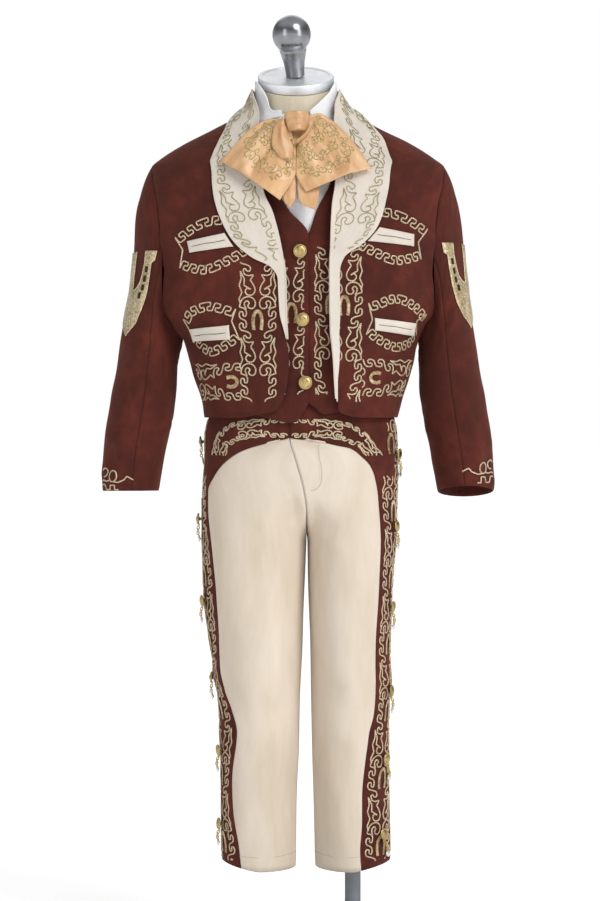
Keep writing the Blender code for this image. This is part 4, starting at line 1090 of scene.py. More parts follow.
def jacket(looks):
    z = fine(JACKET_ROWS, 104)
    side_seam = ring(JACKET, 90, z)
    gap = np.degrees(SEAM / 2 / np.hypot(side_seam[..., 0] - read(JACKET, "centre", z), side_seam[..., 1]))
    outer = armhole_turn(z) - gap
    for name, side, edge in (("right", -1, FRONT_EDGE_RIGHT), ("left", 1, FRONT_EDGE_LEFT)):
        inner = turn_at(JACKET, read(edge, "x", z), z)
        panel(f"jacket_front_{name}", layer(JACKET), columns(inner, side * outer, 50), z[:, None], SUIT_CLOTH,
              looks["brown"], "brown_suede", jacket_push, held="draped", rests_on=[f"vest_front_{name}_cloth"], lip=0.3)
    edge = 180 - armhole_turn(z, "back") + gap
    panel("jacket_back", layer(JACKET), columns(edge, 360 - edge, 84), z[:, None], SUIT_CLOTH, looks["brown"],
          "brown_suede", jacket_push, held="draped", rests_on=["vest_back_cloth"], lip=0.3)


# Creases of a sleeve, by turn and by the length down it. They are written for the right sleeve.
SLEEVE_FOLDS = {
    -1: table(FOLD, """
        60 60 110 96 8 1.5
        100 96 62 150 9 -1.7
        84 120 70 215 8 1.7
        30 150 76 168 9 -1.5
        20 178 84 196 8 1.5
        50 190 44 262 10 -1.4
        0 218 66 236 9 1.1
        -70 130 -20 160 9 1.6
        -90 170 -30 182 9 -1.5
        -84 200 -24 226 10 1.5
        -120 140 -170 170 9 1.3
        130 150 172 180 9 1.4
        0 18 2 70 14 1.2
        36 10 44 60 9 -1.0
        -36 12 -50 66 10 -1.0
    """),
    1: table(FOLD, """
        66 70 112 90 8 1.4
        98 110 66 158 10 -1.6
        78 130 66 226 9 1.8
        26 140 78 172 9 -1.4
        14 186 80 204 9 1.6
        46 200 38 270 9 -1.3
        -4 226 60 246 9 1.0
        -66 126 -16 152 10 1.5
        -92 162 -26 190 9 -1.6
        -80 208 -30 232 9 1.4
        -118 150 -168 164 9 1.4
        134 146 170 186 9 1.3
        2 16 0 74 13 1.2
        38 12 48 62 10 -1.1
        -34 10 -46 58 9 -0.9
    """),
}
SLEEVE_REACH = 0.66  # mm to a degree, round a sleeve
SLEEVE_NIP = {-1: 6.5, 1: 4.5}  # how far each sleeve's outer side draws in above the elbow


def sleeve_grid(side):
    """The whole sleeve's outer face with its creases: turns, how far down each row is, and the points."""
    turn = np.radians(np.linspace(-180, 180, 121))
    s = np.concatenate([np.linspace(0, 1, 46)[:-1], np.linspace(1, 2, 40)])
    points = sleeve_points(side, turn[None, :] + 0 * s[:, None], s[:, None] + 0 * turn)
    near = np.exp(-(((s - 1) / 0.16) ** 2))[:, None, None]
    for _ in range(14):
        eased = points.copy()
        eased[1:-1] = (points[:-2] + 2 * points[1:-1] + points[2:]) / 4
        points = points + near * (eased - points)
    down = runs(points, 0).mean(axis=1)
    degrees = np.degrees(turn)
    push = 1.3 * creases(SLEEVE_FOLDS[side], degrees[None, :], down[:, None], SLEEVE_REACH)
    push = push + ripples(degrees[None, :] * SLEEVE_REACH, down[:, None], 11 + side, 40, 0.25)
    nip = SLEEVE_NIP[side] * np.exp(-(((points[..., 2] - 698) / 48) ** 2)) * np.clip(np.cos(turn), 0, 1)[None, :] ** 0.8
    push = push * ease(down, 2, 24)[:, None] - nip
    core = points.mean(axis=1, keepdims=True)
    normal = normals(points)
    normal = normal * np.sign((normal * (points - core)).sum())
    return degrees, down, points + push[..., None] * normal, normal


def sleeves(looks):
    for word, side in SIDES:
        degrees, _, points, normal = sleeve_grid(side)
        for name, chosen in (
            ("top", np.flatnonzero(np.abs(degrees) <= SLEEVE_SEAM_TURN)),
            ("under", np.flatnonzero(np.abs(degrees) >= SLEEVE_SEAM_TURN - 3)),
        ):
            if name == "under":
                chosen = np.concatenate([chosen[degrees[chosen] > 0], chosen[degrees[chosen] < 0][1:]])
            face, out = points[:, chosen], normal[:, chosen]
            dip = np.zeros(face.shape[:2])
            dip[:, [0, -1]] = -0.5
            dip[-1] = -0.3
            face = face + dip[..., None] * out
            share = np.linspace(0, 1, face.shape[1])[None, :, None]
            step = np.gradient(face, axis=1)
            step /= np.linalg.norm(step, axis=-1, keepdims=True)
            face = face + step * (SEAM / 2) * (1 - 2 * share)
            sewn(f"sleeve_{name}_{word}", face, face - SUIT_CLOTH * out, looks["brown"], "brown_suede", "hung",
                 [f"jacket_front_{word}_cloth"], lip=0.17)


def sleeve_chart(side):
    """The sleeve by turn times SLEEVE_REACH and by height."""
    degrees, _, points, _ = sleeve_grid(side)
    z = np.arange(480.0, 790.0, 2.0)
    turn = np.arange(-150.0, 151.0, 3.0)
    upward = np.array([sampled(turn, degrees, row) for row in points[::-1]])
    level = np.stack([sampled(z, upward[:, i, 2], upward[:, i]) for i in range(len(turn))], 1)
    return Chart(turn, z, level, (SLEEVE_CENTRE + side * 158, 0))


def collar_points(side):
    """The collar's grid from the fold to the outer edge, and how far down it each row is."""
    rows = COLLAR_RIGHT if side < 0 else COLLAR_LEFT
    s = np.concatenate([np.linspace(0, 3, 40)[:-1], np.linspace(3, rows["s"].max(), 96)])
    edges = [collar_edge(rows, edge, side) for edge in ("fold", "outer")]
    turns = [smooth(rows["s"], turn, s) for turn, _ in edges]
    heights = [smooth(rows["s"], z, s) for _, z in edges]
    return columns(*turns, 20), columns(*heights, 20)


def collars(looks):
    for word, side in SIDES:
        across, up = collar_points(side)
        share = np.linspace(0, 1, across.shape[1])[None, :]
        roll = 0.9 * np.exp(-((share / 0.10) ** 2)) - 0.3 * share

        def push(turn, z, roll=roll):
            return jacket_push(turn, z) + roll

        # the collar takes the paler copy of the cream cloth: painted light
        panel(f"collar_{word}", layer(COLLAR), across, up, SUIT_CLOTH, looks["collar"], "cream_cloth", push,
              held="folded", rests_on=[f"jacket_front_{word}_cloth"], core=NECK, dip=0.3, lip=0.45)


def welts(looks):
    for name, corners in WELTS.items():
        top, foot, far_top, far_foot = np.array(corners)
        along = np.linspace(0, 1, 42)[None, :, None]
        down = np.linspace(0, 1, 15)[:, None, None]
        upper, lower = top + (far_top - top) * along, foot + (far_foot - foot) * along
        flat = upper + (lower - upper) * down
        across = turn_at(JACKET, flat[..., 0], flat[..., 1])
        share = np.linspace(-1, 1, 15)[:, None]
        ends = 1 - np.abs(np.linspace(-1, 1, 42))[None, :] ** 10

        def push(turn, z, share=share, ends=ends):
            lips = 0.55 * (1 - share**2) - 0.85 * np.exp(-((share / 0.13) ** 2)) * ends
            return jacket_push(turn, z) + lips * ends

        # the welts take the paler copy of the cream cloth: painted light
        panel(name, layer(JACKET), across, flat[..., 1], 0.9, looks["collar"], "cream_cloth", push, lift=1.8,
              held="laid", rests_on=[f"jacket_front_{name.split('_')[-1]}_cloth"], lip=0.3)


# Waistcoat

VEST_FOLDS = table(FOLD, """
    -70 690 -40 640 9 0.9
    -34 640 -30 566 9 -0.8
    70 680 42 634 9 0.9
    20 600 26 562 8 0.8
    130 690 150 640 10 1.2
    -128 696 -150 650 10 1.1
    168 640 172 585 9 -1.0
    -160 630 -166 584 10 0.9
""")


VEST_REACH = 1.6  # mm to a degree, round the waistcoat
VEST_UNDERARM_Z = 655
VEST_GAP = 0.15  # half the gap at its side seams, in degrees


def vest_push(turn, z):
    turn = np.where(turn > 180, turn - 360, turn)
    return creases(VEST_FOLDS, turn, z, VEST_REACH) + ripples(turn * VEST_REACH, z, 7, 40, 0.15)


def vest_armhole(z):
    """Degrees from the middle of the waistcoat's front or back to its armhole, or to its side seam below that."""
    return np.where(z < VEST_UNDERARM_Z, 90, smooth(VEST_ARMHOLE["z"], VEST_ARMHOLE["turn"], z))


def vest(looks):
    rows = fine(VEST_ROWS, 84)
    for word, side in SIDES:
        edge, foot = VEST_FRONTS[word]
        turn_out = np.concatenate([[90, 90], vest_armhole(rows)]) - VEST_GAP
        level = turn_at(VEST, read(edge, "x", rows), rows)
        start = turn_at(VEST, edge["x"][0], rows[0])
        fan = columns([start], [side * turn_out[0]], 42)[0]
        up = hem_rows(rows, read(foot, "z", ring(VEST, fan, 565.0)[:, 0]))
        across = columns(np.concatenate([[start, start], level]), side * turn_out, 42)
        first = np.linspace(0, 1, 12)[:, None]
        up = np.concatenate([up[0] + first * (up[2] - up[0]), up[3:]])
        across = np.concatenate([across[0] + first * (across[2] - across[0]), across[3:]])
        panel(f"vest_front_{word}", vest_surface(side), across, up, VEST_CLOTH, looks["brown"], "brown_suede",
              vest_push, held="draped", rests_on=["shirt_front_cloth"], lip=0.3)
    rows = np.concatenate([np.linspace(574, 590, 8)[:-1], rows])
    edge = 180 - vest_armhole(rows) + VEST_GAP
    panel("vest_back", layer(VEST), columns(edge, 360 - edge, 64), rows[:, None], VEST_CLOTH, looks["brown"],
          "brown_suede", vest_push, held="draped", rests_on=["shirt_back_cloth"], lip=0.3)


# Shirt


def shirt(looks):
    rows = fine(SHIRT_ROWS, 56)
    turn = read(SHIRT_ARMHOLE, "turn", rows)

    def push(across, up):
        return ripples(across * 1.5, up, 21, 24, 0.2)

    white = looks["shirt"], "white_shirting"
    panel("shirt_front", layer(SHIRT), columns(-turn, turn, 60), rows[:, None], SHIRT_CLOTH, *white, push,
          held="draped", rests_on=["form_body"], dip=0.2)
    rows = fine(SHIRT_ROWS[2:], 40)
    turn = 180 - read(SHIRT_ARMHOLE, "turn", rows)
    panel("shirt_back", layer(SHIRT), columns(turn, 360 - turn, 60), rows[:, None], SHIRT_CLOTH, *white, push,
          held="draped", rests_on=["form_body"], dip=0.2)
    turn = np.linspace(20, 340, 90)
    high = read(STAND_TOP, "z", np.minimum(turn, 360 - turn))
    up = 850.5 + (high - 850.5) * np.linspace(0, 1, 7)[:, None]
    panel("shirt_collar_stand", layer(STAND), turn[None, :], up, SHIRT_CLOTH, *white, held="folded",
          rests_on=["form_body"], dip=0.1, core=NECK, lip=0.3)
    for word, side in SIDES:
        turn = np.concatenate([np.linspace(17, 100, 48), np.linspace(100, 179.8, 34)[1:]])
        fold, foot = read(LEAF, word, turn), read(LEAF, "foot", turn)
        up = fold + (foot - fold) * np.linspace(0, 1, 14)[:, None]
        share = np.linspace(0, 1, 14)[:, None]

        def leaf_push(across, up, share=share):
            return 0.5 * np.exp(-((share / 0.12) ** 2)) + ripples(across * 0.8, up, 31, 26, 0.2)

        panel(f"shirt_collar_{word}", layer(SHIRT_COLLAR), side * turn[None, :], up, SHIRT_CLOTH, *white, leaf_push,
              held="folded", rests_on=["shirt_collar_stand_cloth"], dip=0.15, core=NECK, lip=0.35)


# Satin bow

WING_FOLDS = {
    # creases by place across the wing and place from the knot, both in mm
    "right": table(FOLD, """
        4 0 6 46 3.2 -1.3
        12 0 17 62 4.0 1.5
        22 0 33 50 3.4 -1.2
        32 2 52 56 4.6 1.3
        26 40 40 76 5.0 -1.0
        8 50 30 66 4.5 0.9
        44 40 60 48 4.0 -0.9
    """),
    "left": table(FOLD, """
        4 0 7 50 3.4 -1.4
        11 0 19 56 3.8 1.4
        21 0 30 60 3.8 -1.1
        30 4 50 48 4.2 1.4
        20 44 46 70 5.2 -0.9
        6 56 26 72 4.2 1.0
        46 36 62 52 4.2 -1.0
    """),
}


def on_chest(x, z, lift):
    turn = turn_at(COLLAR, x, z)
    surface = layer(COLLAR)
    along = surface(turn + EPS, z) - surface(turn - EPS, z)
    rise = surface(turn, z + EPS) - surface(turn, z - EPS)
    normal = np.cross(along, rise)
    return surface(turn, z) + lift[..., None] * normal / np.linalg.norm(normal, axis=-1, keepdims=True)


def satin_grid(edges, rows, cols, low, thickness, bulge, folds=None, seed=0):
    """Outer and inner points of a piece of satin between two edges, rows running from the knot to the end."""
    s = np.linspace(0, 1, rows)
    first, second = edges
    x = between(read(first, "x", s), read(second, "x", s), cols)
    z = between(read(first, "z", s), read(second, "z", s), cols)
    middle = np.sin(np.linspace(0, math.pi, cols))[None, :]
    near, far, hollow = bulge
    rise = (near + (far - near) * s)[:, None] * middle
    flat = np.stack([x, z], -1)
    width, length = runs(flat, 1), runs(flat, 0)
    push = ripples(width, length, 40 + seed, 17, 0.28)
    if folds is not None:
        push = push + 1.3 * creases(folds, width, length, 1.0)
    push = push * np.clip(np.sin(np.linspace(0, math.pi, cols))[None, :] * 3, 0.25, 1)
    outer = on_chest(x, z, low + thickness + rise + push)
    inner = on_chest(x, z, low + rise * hollow + np.where(hollow > 0, 1, 0) * push)
    return outer, inner


def bow_wing(word):
    return satin_grid(WINGS[word], 64, 56, 4.2, SATIN, (2.5, 7, 1), WING_FOLDS[word], seed=1)


def bow(looks):
    def made(node, outer, inner, held, rests_on):
        sewn(node, outer[::-1], inner[::-1], looks["satin"], "peach_satin", held, rests_on, lip=0.5)

    for word in ("right", "left"):
        made(f"bow_wing_{word}", *bow_wing(word), "folded", [f"collar_{word}_cloth"])
        fold = table(FOLD, "4 2 6 24 2.2 -0.8, 8 4 9 30 2.4 0.7")
        made(f"bow_fold_{word}", *satin_grid(FOLDS[word], 34, 22, 12, 1.2, (3, 3, 0), fold, 2), "folded",
             [f"bow_wing_{word}_cloth"])
        made(f"bow_tail_{word}", *satin_grid(TAILS[word], 40, 18, 1.0, 1.4, (1.2, 1.2, 1), None, 3), "hung",
             ["bow_knot_cloth"])
    knot = (
        table("s x z", "0 -17 844, 0.5 -16.2 835, 1 -13.4 826"),
        table("s x z", "0 4.2 845, 0.5 4.6 835, 1 2.4 826"),
    )
    fold = table(FOLD, "1 5 20 7 1.8 -0.7, 2 13 19 11 2.0 -0.6")
    made("bow_knot", *satin_grid(knot, 26, 30, 9.6, 1.6, (5, 5, 0), fold, 4), "gathered", ["bow_wing_right_cloth"])


# Trousers

LEG_FOLDS = {
    -1: table(FOLD, """
        0.06 470 0.20 432 11 -1.5
        0.10 452 0.26 424 9 1.1
        0.16 420 0.27 250 12 1.0
        0.14 300 0.34 276 12 0.9
        0.12 268 0.36 246 11 -1.2
        0.16 240 0.30 226 10 1.0
        0.20 200 0.22 118 12 0.9
        0.38 300 0.60 286 11 1.2
        0.62 290 0.86 262 11 1.5
        0.60 262 0.88 244 11 -1.5
        0.66 232 0.84 216 10 1.3
        0.70 470 0.92 428 12 1.6
        0.66 440 0.90 404 12 -1.4
        0.74 400 0.76 310 14 1.2
        0.76 200 0.74 116 13 1.1
    """),
    1: table(FOLD, """
        0.05 462 0.20 438 11 -1.3
        0.08 446 0.24 418 9 1.2
        0.18 410 0.25 262 12 1.0
        0.12 306 0.36 286 11 1.0
        0.14 274 0.34 256 12 -1.1
        0.16 246 0.32 222 10 1.0
        0.22 192 0.20 116 12 0.9
        0.40 292 0.62 280 11 1.1
        0.62 284 0.86 268 11 1.4
        0.58 258 0.88 236 11 -1.5
        0.68 226 0.84 212 10 1.2
        0.70 462 0.90 434 12 1.5
        0.68 434 0.92 410 12 -1.3
        0.76 404 0.74 318 14 1.2
        0.74 196 0.78 118 13 1.0
    """),
}
LEG_REACH = 290  # mm once round a leg


def leg_push(side):
    def push(across, up):
        share = np.abs(across)
        found = 1.45 * creases(LEG_FOLDS[side], share, up, LEG_REACH)
        found = found + ripples(share * LEG_REACH, up, 51 + side, 60, 0.3)
        # The creases die away at the seams, so that both neighbours meet there.
        return found * ease(np.minimum(share, 1 - share), 0, 0.05)

    return push


def leg_core(side):
    return (LEGS[side]["centre"].mean(), 3)


def leg_panel(node, side, across, up, finish, slot):
    def middle(z):
        """The middle of the leg at a height and, at the hips, of the body."""
        share = ease(z, CROTCH_Z, HIP_Z + 20)
        return np.stack([read(LEGS[side], "centre", z) * (1 - share) - 2 * share, 0 * z + 3], -1)

    panel(node, trouser_leg(side), across, up, SUIT_CLOTH, finish, slot, leg_push(side), core=middle, held="hung",
          rests_on=["form_body"], lip=0.17)


def trousers(looks):
    for word, side in SIDES:
        z = fine(LEG_ROWS, 118)
        gap = SEAM / 2 / lengths(side, z)[1][:, -1]
        front, back = band_edges(side, z + SEAM / 2)
        for name, start, end, count in (("front", 0 * z + gap, front - gap, 40), ("back", back + gap, 1 - gap, 52)):
            across = side * columns(start, end, count)
            up = hemmed(side, across, np.repeat(z[:, None], across.shape[1], 1))
            if name == "front":
                slant = np.linspace(YOKE_ROWS[0] - SEAM, z[-1], across.shape[1])
                share = np.clip((z - SLANT_Z) / (z[-1] - SLANT_Z), 0, 1)[:, None] ** 2
                up = up + share * (slant - z[-1])
            leg_panel(f"trouser_{name}_{word}", side, across, up, looks["cream"], "cream_cloth")
        z = np.concatenate([z, fine(YOKE_ROWS, 22)])
        front, back = band_edges(side, z - SEAM / 2)
        gap = SEAM / 2 / lengths(side, z)[1][:, -1]
        across = side * columns(front + gap, back - gap, 44)
        up = hemmed(side, across, np.repeat(z[:, None], across.shape[1], 1))
        leg_panel(f"trouser_band_{word}", side, across, up, looks["brown"], "brown_suede")


# Round pieces


def turned(name, profile, foot, axis, sides, finish, node=None, crease=35):
    """A round piece: a profile of radius and height, closed at both ends, about an axis from its foot."""
    axis = unit(np.array(axis, float))
    side = unit(np.cross(axis, (0, 0, 1) if abs(axis[2]) < 0.9 else (0, 1, 0)))
    ahead = np.cross(axis, side)
    angle = np.arange(sides) * 2 * math.pi / sides
    spokes = np.cos(angle)[:, None] * side + np.sin(angle)[:, None] * ahead
    profile = np.array(profile, float)
    points = np.array(foot) + profile[:, 1, None, None] * axis + profile[:, 0, None, None] * spokes
    at = np.arange(len(profile) * sides).reshape(len(profile), sides)
    turned_at = np.roll(at, -1, axis=1)
    strips = [at[:-1].ravel(), turned_at[:-1].ravel(), turned_at[1:].ravel(), at[1:].ravel()]
    faces = np.stack(strips, 1).tolist() + [at[0][::-1].tolist(), at[-1].tolist()]
    made = piece(name, points.reshape(-1, 3), faces, finish, crease=crease)
    if node:
        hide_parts(node)
    return made


def form(looks):
    up = np.array([0, -math.sin(CAP_TILT), math.cos(CAP_TILT)])
    turn = np.linspace(180, 540, FORM_SIDES + 1)[:-1]
    rows = [ring(FORM, turn, np.full(FORM_SIDES, float(z))) for z in fine(FORM_ROWS, 90)]
    neck = ring(FORM, turn, np.full(FORM_SIDES, 885.0))
    plane = CAP_TOP - (CAP_HEIGHT + CLEAR) * up
    neck[:, 2] = plane[2] + (neck[:, 1] - plane[1]) * math.tan(CAP_TILT)
    rows += [rows[-1] + (neck - rows[-1]) * share for share in np.linspace(0, 1, 14)[1:]]
    points = np.concatenate(rows)
    at = np.arange(len(points)).reshape(-1, FORM_SIDES)
    on = np.roll(at, -1, axis=1)
    faces = np.stack([at[:-1].ravel(), on[:-1].ravel(), on[1:].ravel(), at[1:].ravel()], 1).tolist()
    faces += [at[0][::-1].tolist(), at[-1].tolist()]
    uv = np.stack([np.tile(np.radians(turn) * 40, len(rows)), points[:, 2]], 1) * MM
    made = piece("form_body_linen", points, faces, looks["linen"], uv, crease=50)
    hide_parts("form_body")
    foot = CAP_TOP - CAP_HEIGHT * up
    rim, high = CAP_RADIUS, CAP_HEIGHT
    cap = rounded(((35, 0), (rim - 0.8, 0), (rim, 0.8), (rim, high - 0.9), (rim - 0.9, high), (33.8, high), (33.2, 9.1),
                   (30, 9.3)), 2)
    turned("form_cap_steel", np.concatenate([cap, [(0.5, 9.4)]]), foot, up, 96, looks["brushed"], "form_cap")
    ball = [(19 * math.cos(a), 41.5 + 19 * math.sin(a)) for a in np.radians(np.linspace(-45, 89, 30))]
    stem = fine(np.array((0, 5, 13, 20, 26)), 16)
    stem = [(float(np.interp(h, (0, 5, 13, 20, 26), (9.3, 9.5, 10.4, 12, 13.4))), float(h)) for h in stem]
    turned("form_finial_steel", rounded(stem + ball, 1), CAP_TOP + (-0.6, 0, 0) + 0.4 * up, up + FINIAL_LEAN, 64,
           looks["steel"], "form_finial", crease=60)
    pole = ((POLE_RADIUS, BASE_HEIGHT + CLEAR), (POLE_RADIUS, FORM_ROWS[0] - CLEAR))
    turned("stand_pole_steel", pole, (POLE_X, POLE_Y, 0), (0, 0, 1), 48, looks["stand"], "stand_pole")
    base = ((BASE_RADIUS - 1, 0), (BASE_RADIUS, 1), (BASE_RADIUS, 5), (BASE_RADIUS - 1.2, 7.2), (BASE_RADIUS - 4, 8.4),
            (BASE_RADIUS - 9, BASE_HEIGHT))
    base = np.concatenate([base[:1], rounded(base[1:], 2)])
    turned("stand_base_steel", base, (0, POLE_Y, 0), (0, 0, 1), 128, looks["stand"], "stand_base")


# Braid and stitches


def node_tree(name, sizes):
    """A Geometry Nodes tree that a path of edges comes into, its sizes named inputs, and a call that adds a node."""
    tree = bpy.data.node_groups.new(name, "GeometryNodeTree")
    tree.interface.new_socket("Geometry", in_out="INPUT", socket_type="NodeSocketGeometry")
    for size in sizes:
        tree.interface.new_socket(size, in_out="INPUT", socket_type="NodeSocketFloat")
    tree.interface.new_socket("Finish", in_out="INPUT", socket_type="NodeSocketMaterial")
    tree.interface.new_socket("Geometry", in_out="OUTPUT", socket_type="NodeSocketGeometry")
    given = tree.nodes.new("NodeGroupInput")

    def add(kind, sockets=None, **settings):
        made = tree.nodes.new(kind)
        for key, value in settings.items():
            setattr(made, key, value)
        for key, value in (sockets or {}).items():
            if isinstance(value, bpy.types.NodeSocket):
                tree.links.new(value, made.inputs[key])
            else:
                made.inputs[key].default_value = value
        return made

    return tree, given.outputs, add


def laid_curve(given, add):
    """The path as curves whose normals are the cloth's own."""
    curve = add("GeometryNodeMeshToCurve", {"Mesh": given["Geometry"]})
    lay = add("GeometryNodeInputNamedAttribute", {"Name": "lay"}, data_type="FLOAT_VECTOR")
    sockets = {"Curve": curve.outputs[0], "Normal": lay.outputs[0]}
    return add("GeometryNodeSetCurveNormal", sockets, mode="FREE").outputs[0]


def ended(tree, given, add, shape):
    whole = add("GeometryNodeRealizeInstances", {"Geometry": shape}).outputs[0]
    finished = add("GeometryNodeSetMaterial", {"Geometry": whole, "Material": given["Finish"]}).outputs[0]
    out = tree.nodes.new("NodeGroupOutput")
    tree.links.new(finished, out.inputs["Geometry"])


def store(add, shape, name, value):
    sockets = {"Geometry": shape, "Name": name, "Value": value}
    return add("GeometryNodeStoreNamedAttribute", sockets, data_type="FLOAT", domain="POINT").outputs[0]


def braid_tree():
    """A braid with a flat oval section along each path."""
    tree, given, add = node_tree("braid", ("Width", "Height"))
    curve = laid_curve(given, add)
    curve = store(add, curve, "run", add("GeometryNodeSplineParameter").outputs["Length"])
    ring_of = add("GeometryNodeCurvePrimitiveCircle", {"Resolution": 6, "Radius": 0.5}).outputs[0]
    ring_of = store(add, ring_of, "around", add("GeometryNodeSplineParameter").outputs["Factor"])
    scale = add("ShaderNodeCombineXYZ", {"X": given["Height"], "Y": given["Width"], "Z": 1.0}).outputs[0]
    section = add("GeometryNodeTransform", {"Geometry": ring_of, "Scale": scale}).outputs[0]
    sockets = {"Curve": curve, "Profile Curve": section, "Fill Caps": True}
    shape = add("GeometryNodeCurveToMesh", sockets).outputs[0]
    shape = add("GeometryNodeSetShadeSmooth", {"Geometry": shape}).outputs[0]
    ended(tree, given, add, shape)
    return tree


def stitch_tree():
    """Separate stitches along each path, turned from it by the slant."""
    tree, given, add = node_tree("stitches", ("Length", "Width", "Height", "Pitch", "Slant"))
    curve = laid_curve(given, add)
    points = add("GeometryNodeCurveToPoints", {"Curve": curve, "Length": given["Pitch"]}, mode="LENGTH").outputs
    sockets = {"Vector": points["Tangent"], "Axis": points["Normal"], "Angle": given["Slant"]}
    turned_way = add("ShaderNodeVectorRotate", sockets, rotation_type="AXIS_ANGLE").outputs[0]
    sockets = {"Primary Axis": turned_way, "Secondary Axis": points["Normal"]}
    rotation = add("FunctionNodeAxesToRotation", sockets, primary_axis="Z", secondary_axis="X").outputs[0]
    bead = add("GeometryNodeMeshUVSphere", {"Segments": 6, "Rings": 4, "Radius": 0.5}).outputs[0]
    bead = add("GeometryNodeSetShadeSmooth", {"Geometry": bead}).outputs[0]
    size = add("ShaderNodeCombineXYZ", {"X": given["Height"], "Y": given["Width"], "Z": given["Length"]}).outputs[0]
    sockets = {"Points": points["Points"], "Instance": bead, "Rotation": rotation, "Scale": size}
    ended(tree, given, add, add("GeometryNodeInstanceOnPoints", sockets).outputs[0])
    return tree


TREES = {}


def grown(name, paths, tree, finish, sizes):
    """One piece that a tree grows along paths of (points, normals) in millimetres."""
    if tree not in TREES:
        TREES[tree] = {"braid": braid_tree, "stitches": stitch_tree}[tree]()
    points = np.concatenate([path[0] for path in paths]) * MM
    lay = np.concatenate([path[1] for path in paths])
    edges, start = [], 0
    for path, _ in paths:
        edges += [(start + k, start + k + 1) for k in range(len(path) - 1)]
        start += len(path)
    mesh = bpy.data.meshes.new(name + "_path")
    mesh.from_pydata(points.tolist(), edges, [])
    mesh.attributes.new("lay", "FLOAT_VECTOR", "POINT").data.foreach_set("vector", lay.astype(np.float32).ravel())
    path_of = added(name + "_path", mesh)
    grow = path_of.modifiers.new(tree, "NODES")
    grow.node_group = TREES[tree]
    for item in grow.node_group.interface.items_tree:
        if item.in_out == "INPUT" and item.name in sizes:
            grow[item.identifier] = sizes[item.name] * (1 if item.name == "Slant" else MM)
        elif item.in_out == "INPUT" and item.name == "Finish":
            grow[item.identifier] = finish
    graph = bpy.context.evaluated_depsgraph_get()
    whole = bpy.data.meshes.new_from_object(path_of.evaluated_get(graph))
    whole.name = name
    bpy.data.objects.remove(path_of)
    bpy.data.meshes.remove(mesh)
    made = added(name, whole)
    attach(made, "root")
    return made


def even(points, step=1.15):
    """A path in the plane resampled to even steps."""
    points = np.asarray(points, float)
    run = measured(points)
    keep = np.concatenate([[True], np.diff(run) > 1e-6])
    run, points = run[keep], points[keep]
    return sampled(np.linspace(0, run[-1], max(3, int(round(run[-1] / step)) + 1)), run, points)


def curved(points, per=8):
    """A smooth path through points in the plane."""
    points = np.asarray(points, float)
    if len(points) < 3:
        return even(points)
    loop = np.hypot(*(points[0] - points[-1])) < 1e-6
    if loop:
        padded = np.concatenate([points[-2:-1], points, points[1:2]])
    else:
        padded = np.concatenate([2 * points[:1] - points[1:2], points, 2 * points[-1:] - points[-2:-1]])
    share = np.linspace(0, 1, per, endpoint=False)[:, None]
    found = []
    for a, b, c, d in zip(padded, padded[1:], padded[2:], padded[3:]):
        square, cube = 2 * a - 5 * b + 4 * c - d, 3 * b - a - 3 * c + d
        found.append(0.5 * (2 * b + (c - a) * share + square * share**2 + cube * share**3))
    return even(np.concatenate([*found, points[-1:]]))


def strokes(text):
    """Smooth strokes, written as "x y, x y | x y, x y". After ! a stroke keeps its corners, after ~ it rounds them."""
    found = []
    for stroke in text.split("|"):
        stroke = stroke.strip()
        points = [tuple(map(float, pair.split())) for pair in stroke.lstrip("!~").split(",")]
        if stroke[0] == "!":
            found.append(even(points))
        else:
            found.append(even(rounded(points, 2)) if stroke[0] == "~" else curved(points))
    return found


def moved(paths, at, turn, scale):
    """Strokes scaled, turned by degrees and moved."""
    turn = math.radians(turn)
    spin = np.array([[math.cos(turn), math.sin(turn)], [-math.sin(turn), math.cos(turn)]])
    return [(path * scale) @ spin + at for path in paths]


def laid(chart, paths, lift=0.3):
    """Strokes on a chart as points and normals, each end tucked in a little."""
    found = []
    for path in paths:
        high = np.full(len(path), float(lift))
        high[[0, -1]] -= 0.25
        found.append(chart.at(path[:, 0], path[:, 1], high))
    return found


def steps(path):
    """The way that a path in the plane runs at each of its points."""
    step = np.gradient(path, axis=0)
    return step / np.hypot(*step.T)[:, None]


# one hook of the meander, lying to the right
KEY = ((0.16, 1), (0.84, 1), (0.8, 0.5), (0.44, 0.56), (0.4, 0), (0.98, 0))
KEY_HEIGHT, KEY_PITCH = 8, 10.4


def keys(path, height, pitch):
    """A meander of square hooks along a path, on its left where the height is positive, mirrored about its middle."""
    path = even(path, 0.5)
    run = measured(path)
    half = max(1, int(round(run[-1] / pitch / 2)))
    hook = np.array(KEY)
    first = np.concatenate([[(0, 0)], *[hook + (k, 0) for k in range(half)]])
    whole = np.concatenate([first, (2 * half, 0) + first[::-1] * (-1, 1)])
    dense = even(np.stack([whole[:, 0] * run[-1] / half / 2, whole[:, 1] * height], 1), 0.9)
    dense = even(rounded(dense[::2], 1))
    left = sampled(dense[:, 0], run, steps(path))[:, ::-1] * (-1, 1)
    return sampled(dense[:, 0], run, path) + dense[:, 1:] * left


# Motifs, in millimetres: x away from the strand's axis and y down from its start

